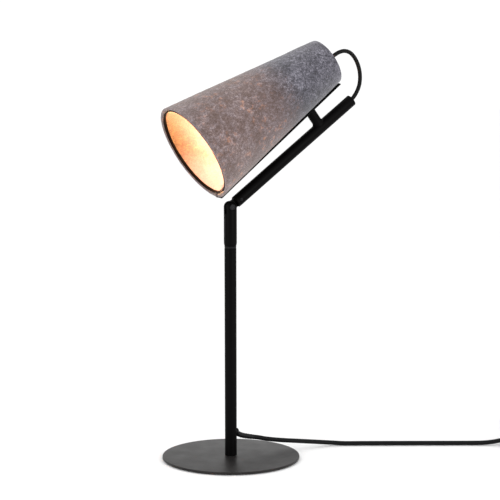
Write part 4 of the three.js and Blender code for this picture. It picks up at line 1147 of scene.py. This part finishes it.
def holder():
    cap = [(5.3, 167.7), (9, 167.7, 1.2), (12.4, 165.7, 1.5), (14, 161.7, 1), (14, 148, 0.4), (12.4, 148),
           (12.4, 161.7, 1), (9, 165, 0.5), (5.3, 165)]
    lathe("holder_cap_turned", cap, SHADE, "black_plastic", "arm", "holder_cap", facets=96)
    body = [(0, 142.7), (9.6, 142.7), (9.6, 112, 0.3), (11.6, 112, 0.6), (12.4, 113, 0.6)]
    for i in range(7):
        ring = 115 + 3 * i
        groove = ((12.4, 0), (12.05, 0.4), (12.05, 1.0), (12.4, 1.4))
        body += [(radius, ring + up, 0.2) for radius, up in groove]
    body += [(12.4, 136, 0.4), (14, 138, 0.5), (14, 147.7, 0.4), (0, 147.7)]
    lathe("holder_body_turned", body, SHADE, "black_plastic", "arm", "holder_body", facets=96)
    gland = [(5.3, 173.1), (7, 173.1, 0.5), (7, 180, 0.6), (5, 184, 0.6), (2.7, 184, 0.3), (2.7, 176.4),
             (5.3, 176.4)]
    lathe("cable_gland_turned", gland, SHADE, "black_plastic", "arm", "cable_gland", facets=64)
    refined("holder_bracket", "zinc_steel", "arm", 0.3)
    refined("nipple_locknut", "zinc_steel", "arm", 0.3)


def bulb():
    """A golf ball bulb: a thin glass ball with a neck, on a small screw cap."""
    def ball(radius):
        angles = [2.3 * k / 40 for k in range(1, 41)]
        rise = [(radius * math.sin(a), BULB_CENTRE - radius * math.cos(a)) for a in angles]
        return [(0, BULB_CENTRE - radius), *rise]

    neck = [(10.6, 107.7, 3), (8, 115.7, 0.5), (7, 115.7, 0.3), (9.4, 107.4, 3)]
    glass = [*ball(BULB_RADIUS), *neck, *reversed(ball(BULB_RADIUS - 1))]
    lathe("bulb_ball", glass, SHADE, "opal_glass", "arm", "bulb_glass", facets=96)
    thread = [(0, 116), (6.9, 116, 0.4)]
    for turn in range(5):
        station = 119.7 + turn * 2.82
        thread += [(6.4, station, 0.9), (7, station + 1.41, 0.9)]
    thread += [(6.4, 134, 0.5), (4.4, 136.4, 0.6), (0, 136.4)]
    lathe("bulb_cap_turned", thread, SHADE, "nickel_cap", "arm", "bulb_cap", facets=64)


# ---------------------------------------------------------------- studio

FLOOR_HALF = 6.0


def add_stage():
    floor = bpy.data.meshes.new("floor")
    corners = [(x * FLOOR_HALF, y * FLOOR_HALF, 0) for x, y in ((-1, -1), (1, -1), (1, 1), (-1, 1))]
    floor.from_pydata(corners, [], [(0, 1, 2, 3)])
    obj = bpy.data.objects.new("floor", floor)
    look = Look("floor", roughness=0.9)
    look.give(base_color=look.ramp(look.noise(0.3, 2), (0.3, 0.955), (0.7, 0.965)))
    floor.materials.append(look.material)
    bpy.context.scene.collection.objects.link(obj)


def area_light(name, place, target, size, power):
    light = bpy.data.lights.new(name, "AREA")
    light.shape = "RECTANGLE"
    light.size, light.size_y = size
    light.energy = power
    obj = bpy.data.objects.new(name, light)
    obj.location = place
    obj.rotation_euler = (Vector(place) - Vector(target)).to_track_quat("Z", "Y").to_euler()
    bpy.context.scene.collection.objects.link(obj)


def add_light():
    world = bpy.data.worlds.new("studio")
    bpy.context.scene.world = world
    world.use_nodes = True
    background = world.node_tree.nodes["Background"]
    background.inputs["Color"].default_value = (1.0, 1.0, 1.0, 1)
    background.inputs["Strength"].default_value = 1.06
    area_light("right_strip", (0.75, -1.85, 0.6), (0, 0, 0.25), (0.3, 1.3), 11)
    area_light("left_strip", (-1.8, -0.55, 0.6), (0, 0, 0.25), (0.3, 1.3), 8)
    bpy.context.scene.view_settings.view_transform = "Standard"


# ---------------------------------------------------------------- assembly


def build():
    add_camera()
    add_stage()
    add_light()
    flex, line = mains_cord()
    on_cord = [*strain_relief(), *cord_switch(), rocker(), coil_tie(), *plug()]
    base()
    swivel()
    tongue()
    arm()
    cone = felt_cone()
    fuzz = felt_fuzz()
    seam_strips()
    hoop()
    holder()
    bulb()
    for node, entry in slots_of_record().items():
        data = frame["nodes"][node].data
        data.materials.clear()
        data.materials.append(LOOKS[entry])


def slots_of_record():
    """The material slot of each CAD node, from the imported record."""
    return {part["node"]: part["material_slot"] for part in frame["record"]["subparts"]}


build()
